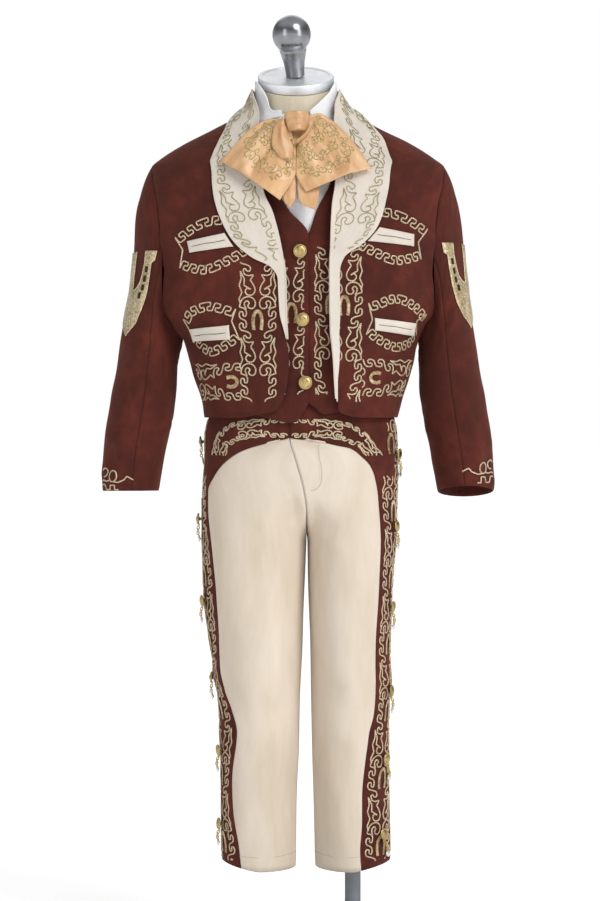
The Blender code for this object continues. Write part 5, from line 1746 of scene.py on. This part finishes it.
UNIT = """
~17.6 -2.4, 10.8 0, 10.8 7.9, 14.4 7.4, 13.8 2.9, 17.8 2.4, 17.8 9.6, 10.8 12, 10.8 19.9, 14.4 19.4, 13.8 14.9,
17.8 14.4, 17.8 21.6, 11 23.2, 6.8 25.6, 6.8 30.2, 10.6 30.6, 11.8 27, 14.4 28.6, 12.8 33.4 |
!12.8 33.4, 9.2 35, 3.8 34.2, 7 39.6 |
7 39.6, 3.6 45.4, 2.4 50.6, 4.8 55, 9.6 55.2, 12 51.6, 10 48.2, 6.6 49.4 |
!16.8 30, 12.8 38.4, 13.2 45, 6.6 49.4 |
!16.8 30, 15.8 38, 17.8 45, 15.2 52.6, 18 59.4, 16.6 65 |
17.6 67.6, 16.6 63, 14 58.8, 8.8 57, 3.8 59.4, 2 64.4, 3.8 69, 7.6 69.2, 9.4 66.4, 8 63.6, 10.2 61.4, 12.6 63.4,
12.4 67, 10.8 70
"""
CUFF_CURL = """
0.6 3.4, 5 1, 9.6 4, 8.4 9, 3.6 11 |
13.6 14, 19.4 15.6, 23.6 11.6, 22.4 5.6, 17 3.6, 12.8 7, 13.6 14 |
13.6 14, 8.6 15.4, 3.4 14.2, 0.4 15.6 |
!19.4 15.6, 26 16.4, 33 13.6, 36 9.6, 43.4 13.4 |
!0.4 19, 5.4 19, 8 25.6, 14 25.6, 14.6 19.6, 21.6 19.4, 22.4 25.8, 27 25.8
"""
BOW_SCROLL = """
0 0, 4 -3.4, 9 -2.6, 11.2 1.4, 8.6 4.8, 5.2 3.4, 6.4 1 |
9 -2.6, 14 -5, 19.4 -3.2, 20.8 1.4, 17.2 4, 14.4 1.8, 16 -0.4 |
19.4 -3.2, 24 -0.6, 28 0 |
4 -3.4, 3.6 -7.2, 7 -9, 9.2 -6.6, 7.4 -5 |
20.8 1.4, 23.4 5.6, 20.6 8.6, 17.8 7
"""
BOW_STAR = """
!-1 1, -5.8 0.6, -2.2 -1.6, -4.4 -5.4, -0.9 -3.2, 0 -7.6, 0.9 -3.2, 4.4 -5.4, 2.2 -1.6, 5.8 0.6, 1 1
"""
FLOWER = """
0 -1.2, 1.6 -4.4, 0 -6.4, -1.6 -4.4, 0 -1.2 |
1.1 0.4, 4.6 0, 6 2, 3.6 2.8, 1.1 0.4 |
-1.1 0.4, -4.6 0, -6 2, -3.6 2.8, -1.1 0.4 |
0.6 1.2, 2.6 4, 1.6 6, -0.2 4.4, 0.6 1.2
"""


def clipped(paths, inside):
    """The parts of strokes where inside(u, v) holds."""
    found = []
    for path in paths:
        keep = inside(path[:, 0], path[:, 1])
        marks = np.flatnonzero(np.diff(np.concatenate([[False], keep, [False]]).astype(int)))
        found += [path[a:b] for a, b in zip(marks[::2], marks[1::2]) if b - a > 4]
    return found


ARCH = "-4.4 -9.6, -5.4 -2, -4.6 5, -2.4 8.8, 0 9.8, 2.4 8.8, 4.6 5, 5.4 -2, 4.4 -9.6"


def follow(line, paths):
    """Strokes bent along a line: their first coordinate runs along it and their second to its left."""
    line = even(line, 0.6)
    run, step = measured(line), steps(line)
    left = step[:, ::-1] * (-1, 1)
    found = []
    for path in paths:
        at, side = sampled(path[:, 0], run, line), sampled(path[:, 0], run, left)
        beyond = np.clip(path[:, 0] - run[-1], 0, None) + np.clip(path[:, 0], None, 0)
        found.append(at + side * path[:, 1:] + beyond[:, None] * step[-1])
    return found


def strand(*parts, scale=1.0, wide=1.0):
    """Strokes of charts one after another down a strand, on both its sides, as (along, aside)."""
    found = []
    for text, start in parts:
        for path in strokes(text):
            along, aside = start + path[:, 1] * scale, path[:, 0] * wide
            found += [np.stack([along, aside], 1), np.stack([along, -aside], 1)]
    return found


def padded_arch(chart, at, turn=0.0, scale=1.0):
    """A horseshoe in raised satin stitch, as the path that its stitches cross, lower at both ends."""
    found = []
    for path in moved(strokes(ARCH), at, turn, scale):
        run = np.linspace(0, 1, len(path))
        high = 0.35 + 0.55 * np.sin(np.pi * np.clip(run, 0.03, 0.97)) ** 0.3
        found.append(chart.at(path[:, 0], path[:, 1], high))
    return found


# Trimming

UNIT_LENGTH = 70  # of one UNIT down its strand
SHOE_PLACE = 12  # down a unit to the middle of the horseshoe between its first hooks
COLUMN_SCALE = 0.92  # of the strands down the fronts
HEM_SCALE = 0.95  # of the rows along the jacket's hem
BRAID = {"Width": 1.5, "Height": 0.95}
FINE_BRAID = {"Width": 0.85, "Height": 0.5}
BOW_BRAID = {"Width": 0.8, "Height": 0.45}
BOW_LINES = (
    # lines that the bow's embroidery follows, across and down a wing, and the size of its scrolls
    ([(12, 22), (12, 48), (14, 68), (30, 77), (50, 79), (70, 76), (79, 62), (80, 40), (77, 20)], 0.82),
    ([(24, 24), (25, 44), (30, 58), (46, 62), (62, 58), (67, 42), (64, 24)], 0.72),
    ([(36, 26), (40, 42), (52, 42), (54, 26)], 0.64),
)
SATIN_STITCH = {"Length": 4.2, "Width": 0.62, "Height": 0.95, "Pitch": 0.5, "Slant": math.radians(84)}
TOP_STITCH = {"Length": 2.0, "Width": 0.36, "Height": 0.3, "Pitch": 2.8, "Slant": 0.0}
POCKETS = {
    # a welt's frame: its ends beside the notch, the arcs above and below, as x and z
    "upper_right": (
        "!-120 696.9, -117.1 714.3, -124.8 726.9",
        "-124.8 726.9, -112.3 736.1, -99.7 742.8, -85.2 746.2, -66 745.2",
        "-120 696.9, -107.4 692.1, -93.9 690.6, -78.4 695.9, -64.9 702.7, -50 711.5",
    ),
    "upper_left": (
        "!115 705.6, 112.1 722, 121.7 735.6",
        "121.7 735.6, 108.2 744.3, 93.7 751, 79.2 754, 64 752",
        "115 705.6, 103.4 701.7, 87.9 699.8, 69.5 706.6, 50 716",
    ),
    "lower_right": (
        "!-61.4 626.4, -69.2 644.6, -65.2 656.4 | !-107 625, -111 637, -117.2 647.4",
        "-117.2 647.4, -111.8 656.4, -99.8 661.6, -89.2 663, -77.4 660.2, -65.2 656.4",
        "-107 625, -90.8 611.4, -71.6 619, -61.4 626.4",
    ),
    "lower_left": (
        "!61 631.8, 67 645.8, 63.2 662 | !111.4 632, 111 646, 121 653",
        "63.2 662, 72.8 665, 83 669.4, 95 670, 109.8 663.4, 121 653",
        "61 631.8, 71.4 623.6, 89 616, 104 620.6, 111.4 632",
    ),
}


def front_chart(surface, shape, side, push, low, high):
    """A chart of one front: u is the length outwards from the middle line and v the height."""
    z = np.arange(low, high, 2.0)
    zero = turn_at(shape, 0 * z, z)
    return chart(surface, zero - side * 30, 0 * z + side * 92, zero, z, (-30, 190), TRUNK, push)


def placed(at, paths):
    """Strokes of x and z, on a front's chart."""
    return [np.stack([[at.across_to(x, z) for x, z in path], path[:, 1]], 1) for path in paths]


def jacket_trim(looks):
    for word, side, edge, axis, top, hem_shoe in (
        ("right", -1, FRONT_EDGE_RIGHT, -44, 702, (-69, 586)),
        ("left", 1, FRONT_EDGE_LEFT, 39.5, 716, (70, 590)),
    ):
        at = front_chart(layer(JACKET), JACKET, side, jacket_push, 552, 800)
        limit = np.array([at.across_to(read(edge, "x", z), z) for z in at.vs])

        def inside(u, v, at=at, limit=limit):
            return u > np.interp(v, at.vs, limit) + 2.6

        paths, keyed = [], []
        for name, (ends, over, under) in POCKETS.items():
            if name.endswith(word):
                paths += placed(at, strokes(ends))
                for arc in (over, under):
                    line = placed(at, strokes(arc))[0]
                    outwards = line[-1, 0] > line[0, 0]
                    keyed.append(keys(line, KEY_HEIGHT if outwards == (arc is under) else -KEY_HEIGHT, KEY_PITCH))
        middle = at.across_to(axis, 640)
        shoe = top - 57
        # the horseshoe stands between the first hooks of a unit
        start = 87 - SHOE_PLACE * COLUMN_SCALE
        column = strand(*[(UNIT, start + UNIT_LENGTH * COLUMN_SCALE * k) for k in (-1, 0, 1)], scale=COLUMN_SCALE)
        column = follow([(middle, shoe + 87), (middle, 540)], column)
        paths += clipped(column, lambda u, v: inside(u, v) & (v < top) & (v > 566))
        # a row along the hem, its horseshoe between the first hooks of a unit
        start_u, far_u, shoe_u = middle + 20, at.across_to(side * 132, hem_shoe[1]), at.across_to(*hem_shoe)
        first = shoe_u - start_u - SHOE_PLACE * HEM_SCALE
        row = strand((UNIT, first - UNIT_LENGTH * HEM_SCALE), (UNIT, first), scale=HEM_SCALE)
        row = follow([(start_u, hem_shoe[1]), (far_u, hem_shoe[1])], row)
        paths += clipped(row, lambda u, v: inside(u, v) & (u > start_u - 2) & (u < far_u) & (v > 563))
        grown(f"jacket_cords_{word}", laid(at, paths + keyed), "braid", looks["cord"], BRAID)
        arches = padded_arch(at, (middle, shoe), scale=(0.8, 0.92))
        arches += padded_arch(at, (at.across_to(*hem_shoe), hem_shoe[1]), 90, (0.9, 0.58))
        grown(f"jacket_horseshoes_{word}", arches, "stitches", looks["thread"], SATIN_STITCH)


def welt_slits(looks):
    """The dark opening along the middle of each welt."""
    for name, corners in WELTS.items():
        side = -1 if name.endswith("right") else 1
        at = front_chart(layer(JACKET), JACKET, side, jacket_push, 600, 760)
        top, foot, far_top, far_foot = np.array(corners, float)
        start, stop = (top + foot) / 2, (far_top + far_foot) / 2
        share = np.linspace(0.08, 0.93, 24)[:, None]
        line = start + (stop - start) * share
        line[:, 1] += 0.35 * np.sin(share[:, 0] * 11 + len(name))
        grown(f"{name}_slit", laid(at, placed(at, [line]), 1.75), "braid", looks["hole"],
              {"Width": 0.85, "Height": 0.4})


def vest_trim(looks):
    for word, side, axis, shoe in (("right", -1, -11.5, 652), ("left", 1, 27.5, 661)):
        at = front_chart(vest_surface(side), VEST, side, vest_push, 556, 740)
        limit = np.array([at.across_to(read(VEST_FRONTS[word][0], "x", z), z) for z in at.vs])
        middle = at.across_to(axis, 640)
        if side < 0:
            limit = np.maximum(limit, at.across_to(3.5, 640))

        def inside(u, v, at=at, limit=limit):
            return (u > np.interp(v, at.vs, limit) + 2.2) & (v > 573) & (v < 716)

        start = 78 - SHOE_PLACE * COLUMN_SCALE
        parts = [(UNIT, start + UNIT_LENGTH * COLUMN_SCALE * k) for k in (-1, 0, 1)]
        paths = follow([(middle, shoe + 78), (middle, 520)], strand(*parts, scale=COLUMN_SCALE, wide=0.92))
        paths = clipped(paths, inside)
        grown(f"vest_cords_{word}", laid(at, paths), "braid", looks["cord"], BRAID)
        arch = padded_arch(at, (middle, shoe), scale=(0.85, 0.95))
        grown(f"vest_horseshoes_{word}", arch, "stitches", looks["thread"], SATIN_STITCH)


STRAND_LINE = 24  # from the band's front edge back to the middle of its strand
STRAND_FORWARD = 12  # how far the strand's top leans forward on the yoke
LEG_STEP = 66.4  # from one horseshoe of the strand to the next
LEG_HEIGHTS = np.arange(106.0, 556.0, 2.0)


def leg_chart(side):
    """A chart of one half of the trousers: u is the length from the inseam or centre front, v the height."""
    z = LEG_HEIGHTS
    surface = trouser_leg(side)
    return chart(surface, 0 * z, 0 * z + side * 0.8, 0 * z, z, (0, 330), leg_core(side), leg_push(side))


def waist_chart(side):
    """A chart of the yoke's front half, up to where it turns out of sight."""
    z = np.arange(480.0, 556.0, 2.0)
    surface = trouser_leg(side)
    share = np.linspace(0.05, 0.6, 56)
    stop = side * share[np.argmax(surface(side * share[None, :], z[:, None])[..., 0] * side, axis=1)]
    return chart(surface, 0 * z, stop, 0 * z, z, (0, 130), leg_core(side), leg_push(side), 1.5)


def band_chart(side, z):
    """A chart of the side band, u the length back from the line of its strand's middle, and the band's front edge."""
    low = np.minimum(z, HIP_Z - 6)
    turn = further(side, low, band_edges(side, low)[0], STRAND_LINE)
    share, length = lengths(side, z)
    middle = [np.interp(t, share, row) for t, row in zip(turn, length)] - STRAND_FORWARD * ease(z, 486, 524)
    turn = np.array([np.interp(u, row, share) for u, row in zip(middle, length)])
    edge = np.array([np.interp(t, share, row) for t, row in zip(band_edges(side, z)[0], length)]) - middle
    surface = trouser_leg(side)
    near, far = side * (turn - 0.2), side * (turn + 0.25)
    return chart(surface, near, far, side * turn, z, (-70, 70), leg_core(side), leg_push(side)), edge


def trouser_trim(looks):
    for word, side, first in (("right", -1, 538), ("left", 1, 536.5)):
        at, edge = band_chart(side, LEG_HEIGHTS)

        def inside(u, v, edge=edge):
            return (u > np.interp(v, LEG_HEIGHTS, edge) + 2.4) & (v > 111.5) & (v < 549)

        step = LEG_STEP
        parts = [(UNIT, 552 - first + step * k) for k in range(-1, 7)]
        strand_paths = follow([(0, 552), (0, 100)], strand(*parts, scale=step / UNIT_LENGTH, wide=1.05))
        strand_paths = clipped(strand_paths, lambda u, v: inside(u, v) & ((u > -4) | (v < 494)))
        front = waist_chart(side)
        waist = strand(*[(UNIT, 3 + 49 * k) for k in range(2)], scale=0.7, wide=0.5)
        waist = follow([(0, 541), (30, 541), (54, 538), (72, 529), (84, 511)], waist)
        waist = clipped(waist, lambda u, v: (u > 2) & (v < 549.5) & (v > 514))
        paths = laid(at, strand_paths) + laid(front, waist)
        grown(f"trouser_cords_{word}", paths, "braid", looks["cord"], BRAID)
        arches = []
        for k in range(7):
            arches += padded_arch(at, (0, first - 11.6 - step * k), scale=0.98)
        grown(f"trouser_horseshoes_{word}", arches, "stitches", looks["thread"], SATIN_STITCH)


HEM_ROW = 117.0  # the height of the row of stitches along the trousers' hem
FLY_ROWS = (
    "15 527, 15.6 514, 18 500, 17.4 488, 12.6 481.6, 7 480",
    "13 527, 13.6 514, 15.8 501, 15.2 490, 11.6 484.4, 7 482.6",
)


def fly(looks):
    """The two curved rows of stitches beside the opening, with braid of a darker greige as painted shade: in the groove
    of the first row, along the lap's edge and along the row of each hem.
    """
    at = leg_chart(1)
    paths = []
    for row in FLY_ROWS:
        paths += placed(at, strokes(row))
    # painted shade: a darker line in the groove of the first row
    grown("fly_groove_painted_shade", laid(at, paths[:1], -0.02), "braid", looks["lap"], {"Width": 0.9, "Height": 0.3})
    grown("fly_stitches", laid(at, paths, 0.12), "stitches", looks["cream_thread"], TOP_STITCH)
    z = np.linspace(527.5, 437, 60)
    lap_edge = np.stack([np.full(60, 0.5), z], 1)
    for word, side in SIDES:
        share, length = lengths(side, np.array([HEM_ROW]))
        end = np.interp(band_edges(side, np.array([HEM_ROW]))[0], share, length[0])[0] - 1.5
        row = np.stack([np.linspace(2, end, 90), HEM_ROW + 0.5 * np.sin(np.linspace(0, 7, 90))], 1)
        # painted shade: a darker line along the row of the hem
        grown(f"hem_groove_{word}", laid(leg_chart(side), [row], -0.05), "braid", looks["lap"],
              {"Width": 0.8, "Height": 0.3})
    # painted shade: a darker ridge along the edge of the fly's lap
    grown("fly_lap_painted_shade", laid(at, [lap_edge], -0.15), "braid", looks["lap"], {"Width": 2.2, "Height": 0.8})


def cuff_trim(looks):
    for word, side in SIDES:
        at = sleeve_chart(side)
        foot = SLEEVE["z"].min() + (8 if side > 0 else 0)
        paths = []
        for path in strokes(CUFF_CURL):
            for way in (-1, 1):
                paths.append(np.stack([way * (22 + path[:, 0] * 1.75), foot + 24 - path[:, 1] * 0.9], 1))
        grown(f"cuff_cords_{word}", laid(at, paths), "braid", looks["cord"], BRAID)


def sleeve_shoes(looks):
    steps = HORSESHOE["s"]
    s = np.linspace(0, 1, 56)
    for word, side in SIDES:
        at = sleeve_chart(side)
        shift_turn, shift_z = HORSESHOE_SHIFT[side]
        turn, z = {}, {}
        for edge in ("outer", "inner"):
            front, height = np.interp(s, steps, HORSESHOE[f"{edge}_turn"]), np.interp(s, steps, HORSESHOE[f"{edge}_z"])
            turn[edge] = shift_turn + np.concatenate([front, 2 * HORSESHOE_AXIS - front[-2::-1]])
            z[edge] = shift_z + np.concatenate([height, height[-2::-1]])
        # the back leg stands fuller than the front one
        turn["inner"][56:] += 9 * ease(np.linspace(0, 1, 55), 0, 0.5)
        across, up = between(turn["outer"], turn["inner"], 13), between(z["outer"], z["inner"], 13)
        raised = 1 - np.abs(np.linspace(-1, 1, 13)) ** 6
        outer = at.at(across, up, 0.75 + 0.65 * np.broadcast_to(raised, across.shape))[0]
        inner = at.at(across, up, 0 * across + 0.2)[0]
        made = wall(f"sleeve_horseshoe_{word}_work", outer, inner, looks["thread"], lip=0.3)
        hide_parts(f"sleeve_horseshoe_{word}")
        edges = [np.stack([turn[edge], z[edge]], 1) for edge in ("outer", "inner")]
        grown(f"sleeve_outlines_{word}", laid(at, edges, 0.9), "braid", looks["pale_thread"],
              {"Width": 1.3, "Height": 1.1})
        windows = []
        for k in range(4):
            share = 0.22 + 0.14 * k
            middle = [
                0.5 * (np.interp(share, s, turn["outer"][:56]) + np.interp(share, s, turn["inner"][:56])),
                0.5 * (np.interp(share, s, z["outer"][:56]) + np.interp(share, s, z["inner"][:56])),
            ]
            windows.append(np.array([[middle[0], middle[1] + d] for d in np.linspace(3.1, -3.1, 5)]))
        grown(f"sleeve_windows_{word}", laid(at, windows, 1.45), "braid", looks["window"],
              {"Width": 4.6, "Height": 0.5})


def regridded(points, runs_across, us, run_down, vs):
    """A grid read at even places across each row and then down each column."""
    level = np.array([sampled(us, run, row) for run, row in zip(runs_across, points)])
    return np.stack([sampled(vs, run_down, level[:, i]) for i in range(len(us))], 1)


def collar_chart(side):
    """A chart of the collar's face: u is the length in from the outer edge and v down along the collar."""
    across, up = collar_points(side)
    points = layer(COLLAR)(across, up)
    points = points + jacket_push(across, up)[..., None] * facing(points, NECK)
    points = points[:, ::-1]
    down = np.concatenate([[0], np.cumsum(np.linalg.norm(np.diff(points[:, points.shape[1] // 2], axis=0), axis=-1))])
    us, vs = np.arange(0, 62.0, 2.0), np.arange(0, down[-1], 3.0)
    run = runs(points, 1)
    return Chart(us, vs, regridded(points, run, us, down, vs), NECK), np.interp(vs, down, run[:, -1]), down


def collar_trim(looks):
    for word, side in SIDES:
        at, wide, down = collar_chart(side)
        front = down[39] + 16
        axis = np.stack([np.minimum(26, wide * 0.5), at.vs], 1)
        paths = follow(axis, strand(*[(UNIT, 2 + 62 * k) for k in range(7)], scale=0.88, wide=1.05))

        def inside(u, v, at=at, wide=wide, front=front):
            return (u > 4) & (u < np.interp(v, at.vs, wide) - 3) & (v < front + 210) & (np.interp(v, at.vs, wide) > 20)

        worked = laid(at, clipped(paths, inside), 0.25)
        grown(f"collar_embroidery_{word}", worked, "braid", looks["fine_cord"], FINE_BRAID)


def bow_trim(looks):
    us, vs = np.arange(0, 91.0, 1.5), np.arange(0, 96.0, 1.5)
    for word, _ in SIDES:
        outer = bow_wing(word)[0]
        across = runs(outer, 1)
        # u and v are shares of the wing's width and length, as if it were 90 wide and 94.5 long all over
        across /= across[:, -1:]
        level = regridded(outer, across, us / 90, np.linspace(0, 1, len(outer)), np.linspace(0, 1, len(vs)))
        at = Chart(us, vs, level, (-7, 60))
        paths = []
        for row, (line, size) in enumerate(BOW_LINES):
            line = curved(line)
            length = np.hypot(*np.diff(line, axis=0).T).sum()
            step = 25 * size
            found = []
            for k in range(int(length // step)):
                flip = 1 if (k + row) % 2 else -1
                for path in strokes(BOW_SCROLL):
                    found.append(np.stack([path[:, 0] * 0.92 * size + step * k, path[:, 1] * size * flip], 1))
                found += [path * size * (1, flip) + (step * (k + 1), -2 * flip) for path in strokes(BOW_STAR)]
            paths += [even(path) for path in follow(line, found)]
        grown(f"bow_embroidery_{word}", laid(at, paths, 0.12), "braid", looks["bow_cord"], BOW_BRAID)


# Buttons


def frame_of(way):
    """Two directions across a way, the first level."""
    across = unit(np.cross((0, 0, 1), way))
    return across, np.cross(way, across)


def lying(path, normal):
    """A path in space with the same normal all along."""
    return path, np.repeat(normal[None], len(path), 0)


def round_path(centre, first, second, radii, count=28):
    angle = np.linspace(0, 2 * math.pi, count + 1)
    return centre + radii[0] * np.cos(angle)[:, None] * first + radii[1] * np.sin(angle)[:, None] * second


def vest_buttons(looks):
    beads, scrolls = [], []
    profile = rounded(((2.2, 0), (2.2, 2), (6.3, 2.3), (6.9, 3.2), (6.2, 4.1), (5, 4.0), (3.4, 4.8), (0.3, 5.3)), 2)
    for number, (x, z) in enumerate(VEST_BUTTONS, 1):
        turn, way = turn_at(VEST, np.array(x), np.array(z)), np.array([0, -1.0, 0])
        foot = vest_surface(-1)(turn, np.array(z)) + vest_push(turn, np.array(z)) * way - (0, 0.3, 0)
        turned(f"vest_button_{number}_shell", profile, foot, way, 48, looks["antique"], f"vest_button_{number}")
        first, second = frame_of(way)
        beads.append(lying(round_path(foot + 4.0 * way, first, second, (5.9, 5.9)), way))
        petals = moved(strokes(FLOWER), (0, 0.6), 17 * number, 0.62)
        petals += moved(strokes(FLOWER), (0, -0.6), 180 + 9 * number, 0.5)
        for path in petals:
            dome = (5.4 - 0.05 * (path**2).sum(1, keepdims=True)) * way
            scrolls.append(lying(foot + path[:, :1] * first + path[:, 1:] * second + dome, way))
    grown("vest_button_beads", beads, "stitches", looks["gold"],
          {"Length": 0.9, "Width": 0.9, "Height": 0.9, "Pitch": 1.0, "Slant": 0.0})
    grown("vest_button_relief", scrolls, "braid", looks["gold"], {"Width": 0.6, "Height": 0.6})


def side_buttons(looks):
    disc = rounded(((1.4, 0), (1.4, 2.8), (5.4, 3.0), (6.1, 3.7), (5.4, 4.5), (4.0, 4.7), (2.4, 5.6), (0.3, 6.2)), 2)
    small = rounded(((0.9, 0), (0.9, 1.0), (3.2, 1.1), (3.7, 1.6), (3.0, 2.3), (1.4, 2.8), (0.3, 3.0)), 2)
    for word, side in SIDES:
        z = np.array(BUTTON_Z[side], float)
        line = np.minimum(z, HIP_Z - 6)
        turn = side * further(side, line, band_edges(side, line)[0], BUTTON_LINE)
        surface = trouser_leg(side)
        points = surface(turn, z)
        ahead = surface(turn + side * 0.002, z) - surface(turn - side * 0.002, z)
        links, beads = [], []
        for number, (point, step) in enumerate(zip(points, ahead), 1):
            out = unit(np.cross(step, (0, 0, 1)))
            out *= np.sign(out[0] * side)
            # each button hangs over a little, its own way
            tip = unit(out + (0, 0, -0.10 if number % 2 else 0.06))
            foot = point + 0.6 * out
            node = f"side_button_{word}_{number}"
            turned(f"{node}_disc", disc, foot, tip, 40, looks["antique"], node)
            first, second = frame_of(tip)
            beads.append(lying(round_path(foot + 4.6 * tip, first, second, (5.0, 5.0)), tip))
            # a chain of small links from the shank down to a second, smaller button
            level = frame_of(out)[0]
            back = level * (1 if level[1] > 0 else -1)
            for k in range(5):
                centre = point + out * (3.4 + 1.2 * math.sin(math.pi * k / 4))
                centre = centre + (0, 0, -6.5 - 2.5 * k) + back * (1.2 + 1.4 * k)
                way = unit(back * 0.5 - (0, 0, 1))
                wide = out if k % 2 else np.cross(way, out)
                links.append(lying(round_path(centre, way, wide, (2.1, 1.25), 16), np.cross(way, wide)))
            low = point + 0.9 * out + np.array([0, 0, -20.0]) + back * 8.6
            turned(f"{node}_drop", small, low, out, 28, looks["silver"])
        grown(f"side_button_links_{word}", links, "braid", looks["gold"], {"Width": 1.05, "Height": 1.05})
        grown(f"side_button_beads_{word}", beads, "stitches", looks["gold"],
              {"Length": 0.85, "Width": 0.85, "Height": 0.85, "Pitch": 0.95, "Slant": 0.0})


def trim(looks):
    jacket_trim(looks)
    welt_slits(looks)
    vest_trim(looks)
    trouser_trim(looks)
    fly(looks)
    cuff_trim(looks)
    sleeve_shoes(looks)
    collar_trim(looks)
    bow_trim(looks)
    vest_buttons(looks)
    side_buttons(looks)


# Studio

CAMERA_PLACE = (-0.003, -2.4, 0.560)
CAMERA_AIM = (-0.003, 0.0, 0.518)
LONG_SIDE = 901 / 2400  # the frame's height in the plane of the part's middle, as a share of the camera's distance


def aimed(made, place, aim):
    """Puts an object at a place and turns it to face a point."""
    way = np.array(aim, float) - np.array(place, float)
    across = np.cross(way, (0, 0, 1))
    if np.linalg.norm(across) < 1e-6:
        across = np.array([1.0, 0, 0])
    across /= np.linalg.norm(across)
    back = -way / np.linalg.norm(way)
    up = np.cross(back, across)
    matrix = np.eye(4)
    matrix[:3, 0], matrix[:3, 1], matrix[:3, 2], matrix[:3, 3] = across, up, back, place
    made.matrix_world = Matrix(matrix)
    return made


def studio():
    scene = bpy.context.scene
    scene.view_settings.view_transform = "Standard"
    lens = bpy.data.cameras.new("camera")
    lens.sensor_width = 36
    lens.lens = 36 / LONG_SIDE
    lens.clip_start, lens.clip_end = 0.05, 60
    scene.camera = aimed(added("camera", lens), CAMERA_PLACE, CAMERA_AIM)

    sky = Sky("studio")
    ray = sky.node("LightPath").outputs
    upward = sky.node("SeparateXYZ", {0: sky.node("TexCoord").outputs["Generated"]}).outputs["Z"]
    shade = sky.ramp(upward, (0.3, (0.12, 0.12, 0.125, 1)), (0.8, (0.47, 0.47, 0.48, 1)))
    gleam = sky.ramp(upward, (0, (0.7, 0.71, 0.73, 1)), (0.45, (0.18, 0.18, 0.19, 1)), (0.75, (0.75, 0.75, 0.76, 1)))
    shade = sky.mix(ray["Is Glossy Ray"], shade, gleam)
    scene.world = sky.wear(Color=sky.mix(ray["Is Camera Ray"], shade, (1, 1, 1, 1)), Strength=1.0)

    sun = bpy.data.lights.new("sun", "SUN")
    sun.energy, sun.angle = 1.62, math.radians(30)
    aimed(added("sun", sun), (1.7, -2.3, 2.7), (0, 0, 0.4))
    for name, place, size, energy in (
        ("softbox_left", (-1.5, -1.7, 1.1), (0.7, 1.5), 6.5),
        ("softbox_right", (1.6, -1.5, 1.2), (0.6, 1.5), 10.5),
        ("softbox_back", (0.0, 2.3, 2.6), (2.4, 1.2), 8.0),
    ):
        box = bpy.data.lights.new(name, "AREA")
        box.shape, box.size, box.size_y, box.energy = "RECTANGLE", *size, energy
        aimed(added(name, box), place, (0, 0, 0.6))

    floor = bpy.data.meshes.new("floor")
    floor.from_pydata([(-30, -30, 0), (30, -30, 0), (30, 30, 0), (-30, 30, 0)], [], [(0, 1, 2, 3)])
    pale = Finish("pale_floor", Base_Color=(0.86, 0.86, 0.86, 1), Roughness=0.7)
    pale.feed(pale.shader, {"Emission Color": (1, 1, 1, 1), "Emission Strength": 0.5})
    floor.materials.append(pale.made)
    made = added("floor", floor)


def main():
    studio()
    looks = finishes()
    jacket(looks)
    sleeves(looks)
    collars(looks)
    welts(looks)
    vest(looks)
    shirt(looks)
    bow(looks)
    trousers(looks)
    form(looks)
    trim(looks)


main()
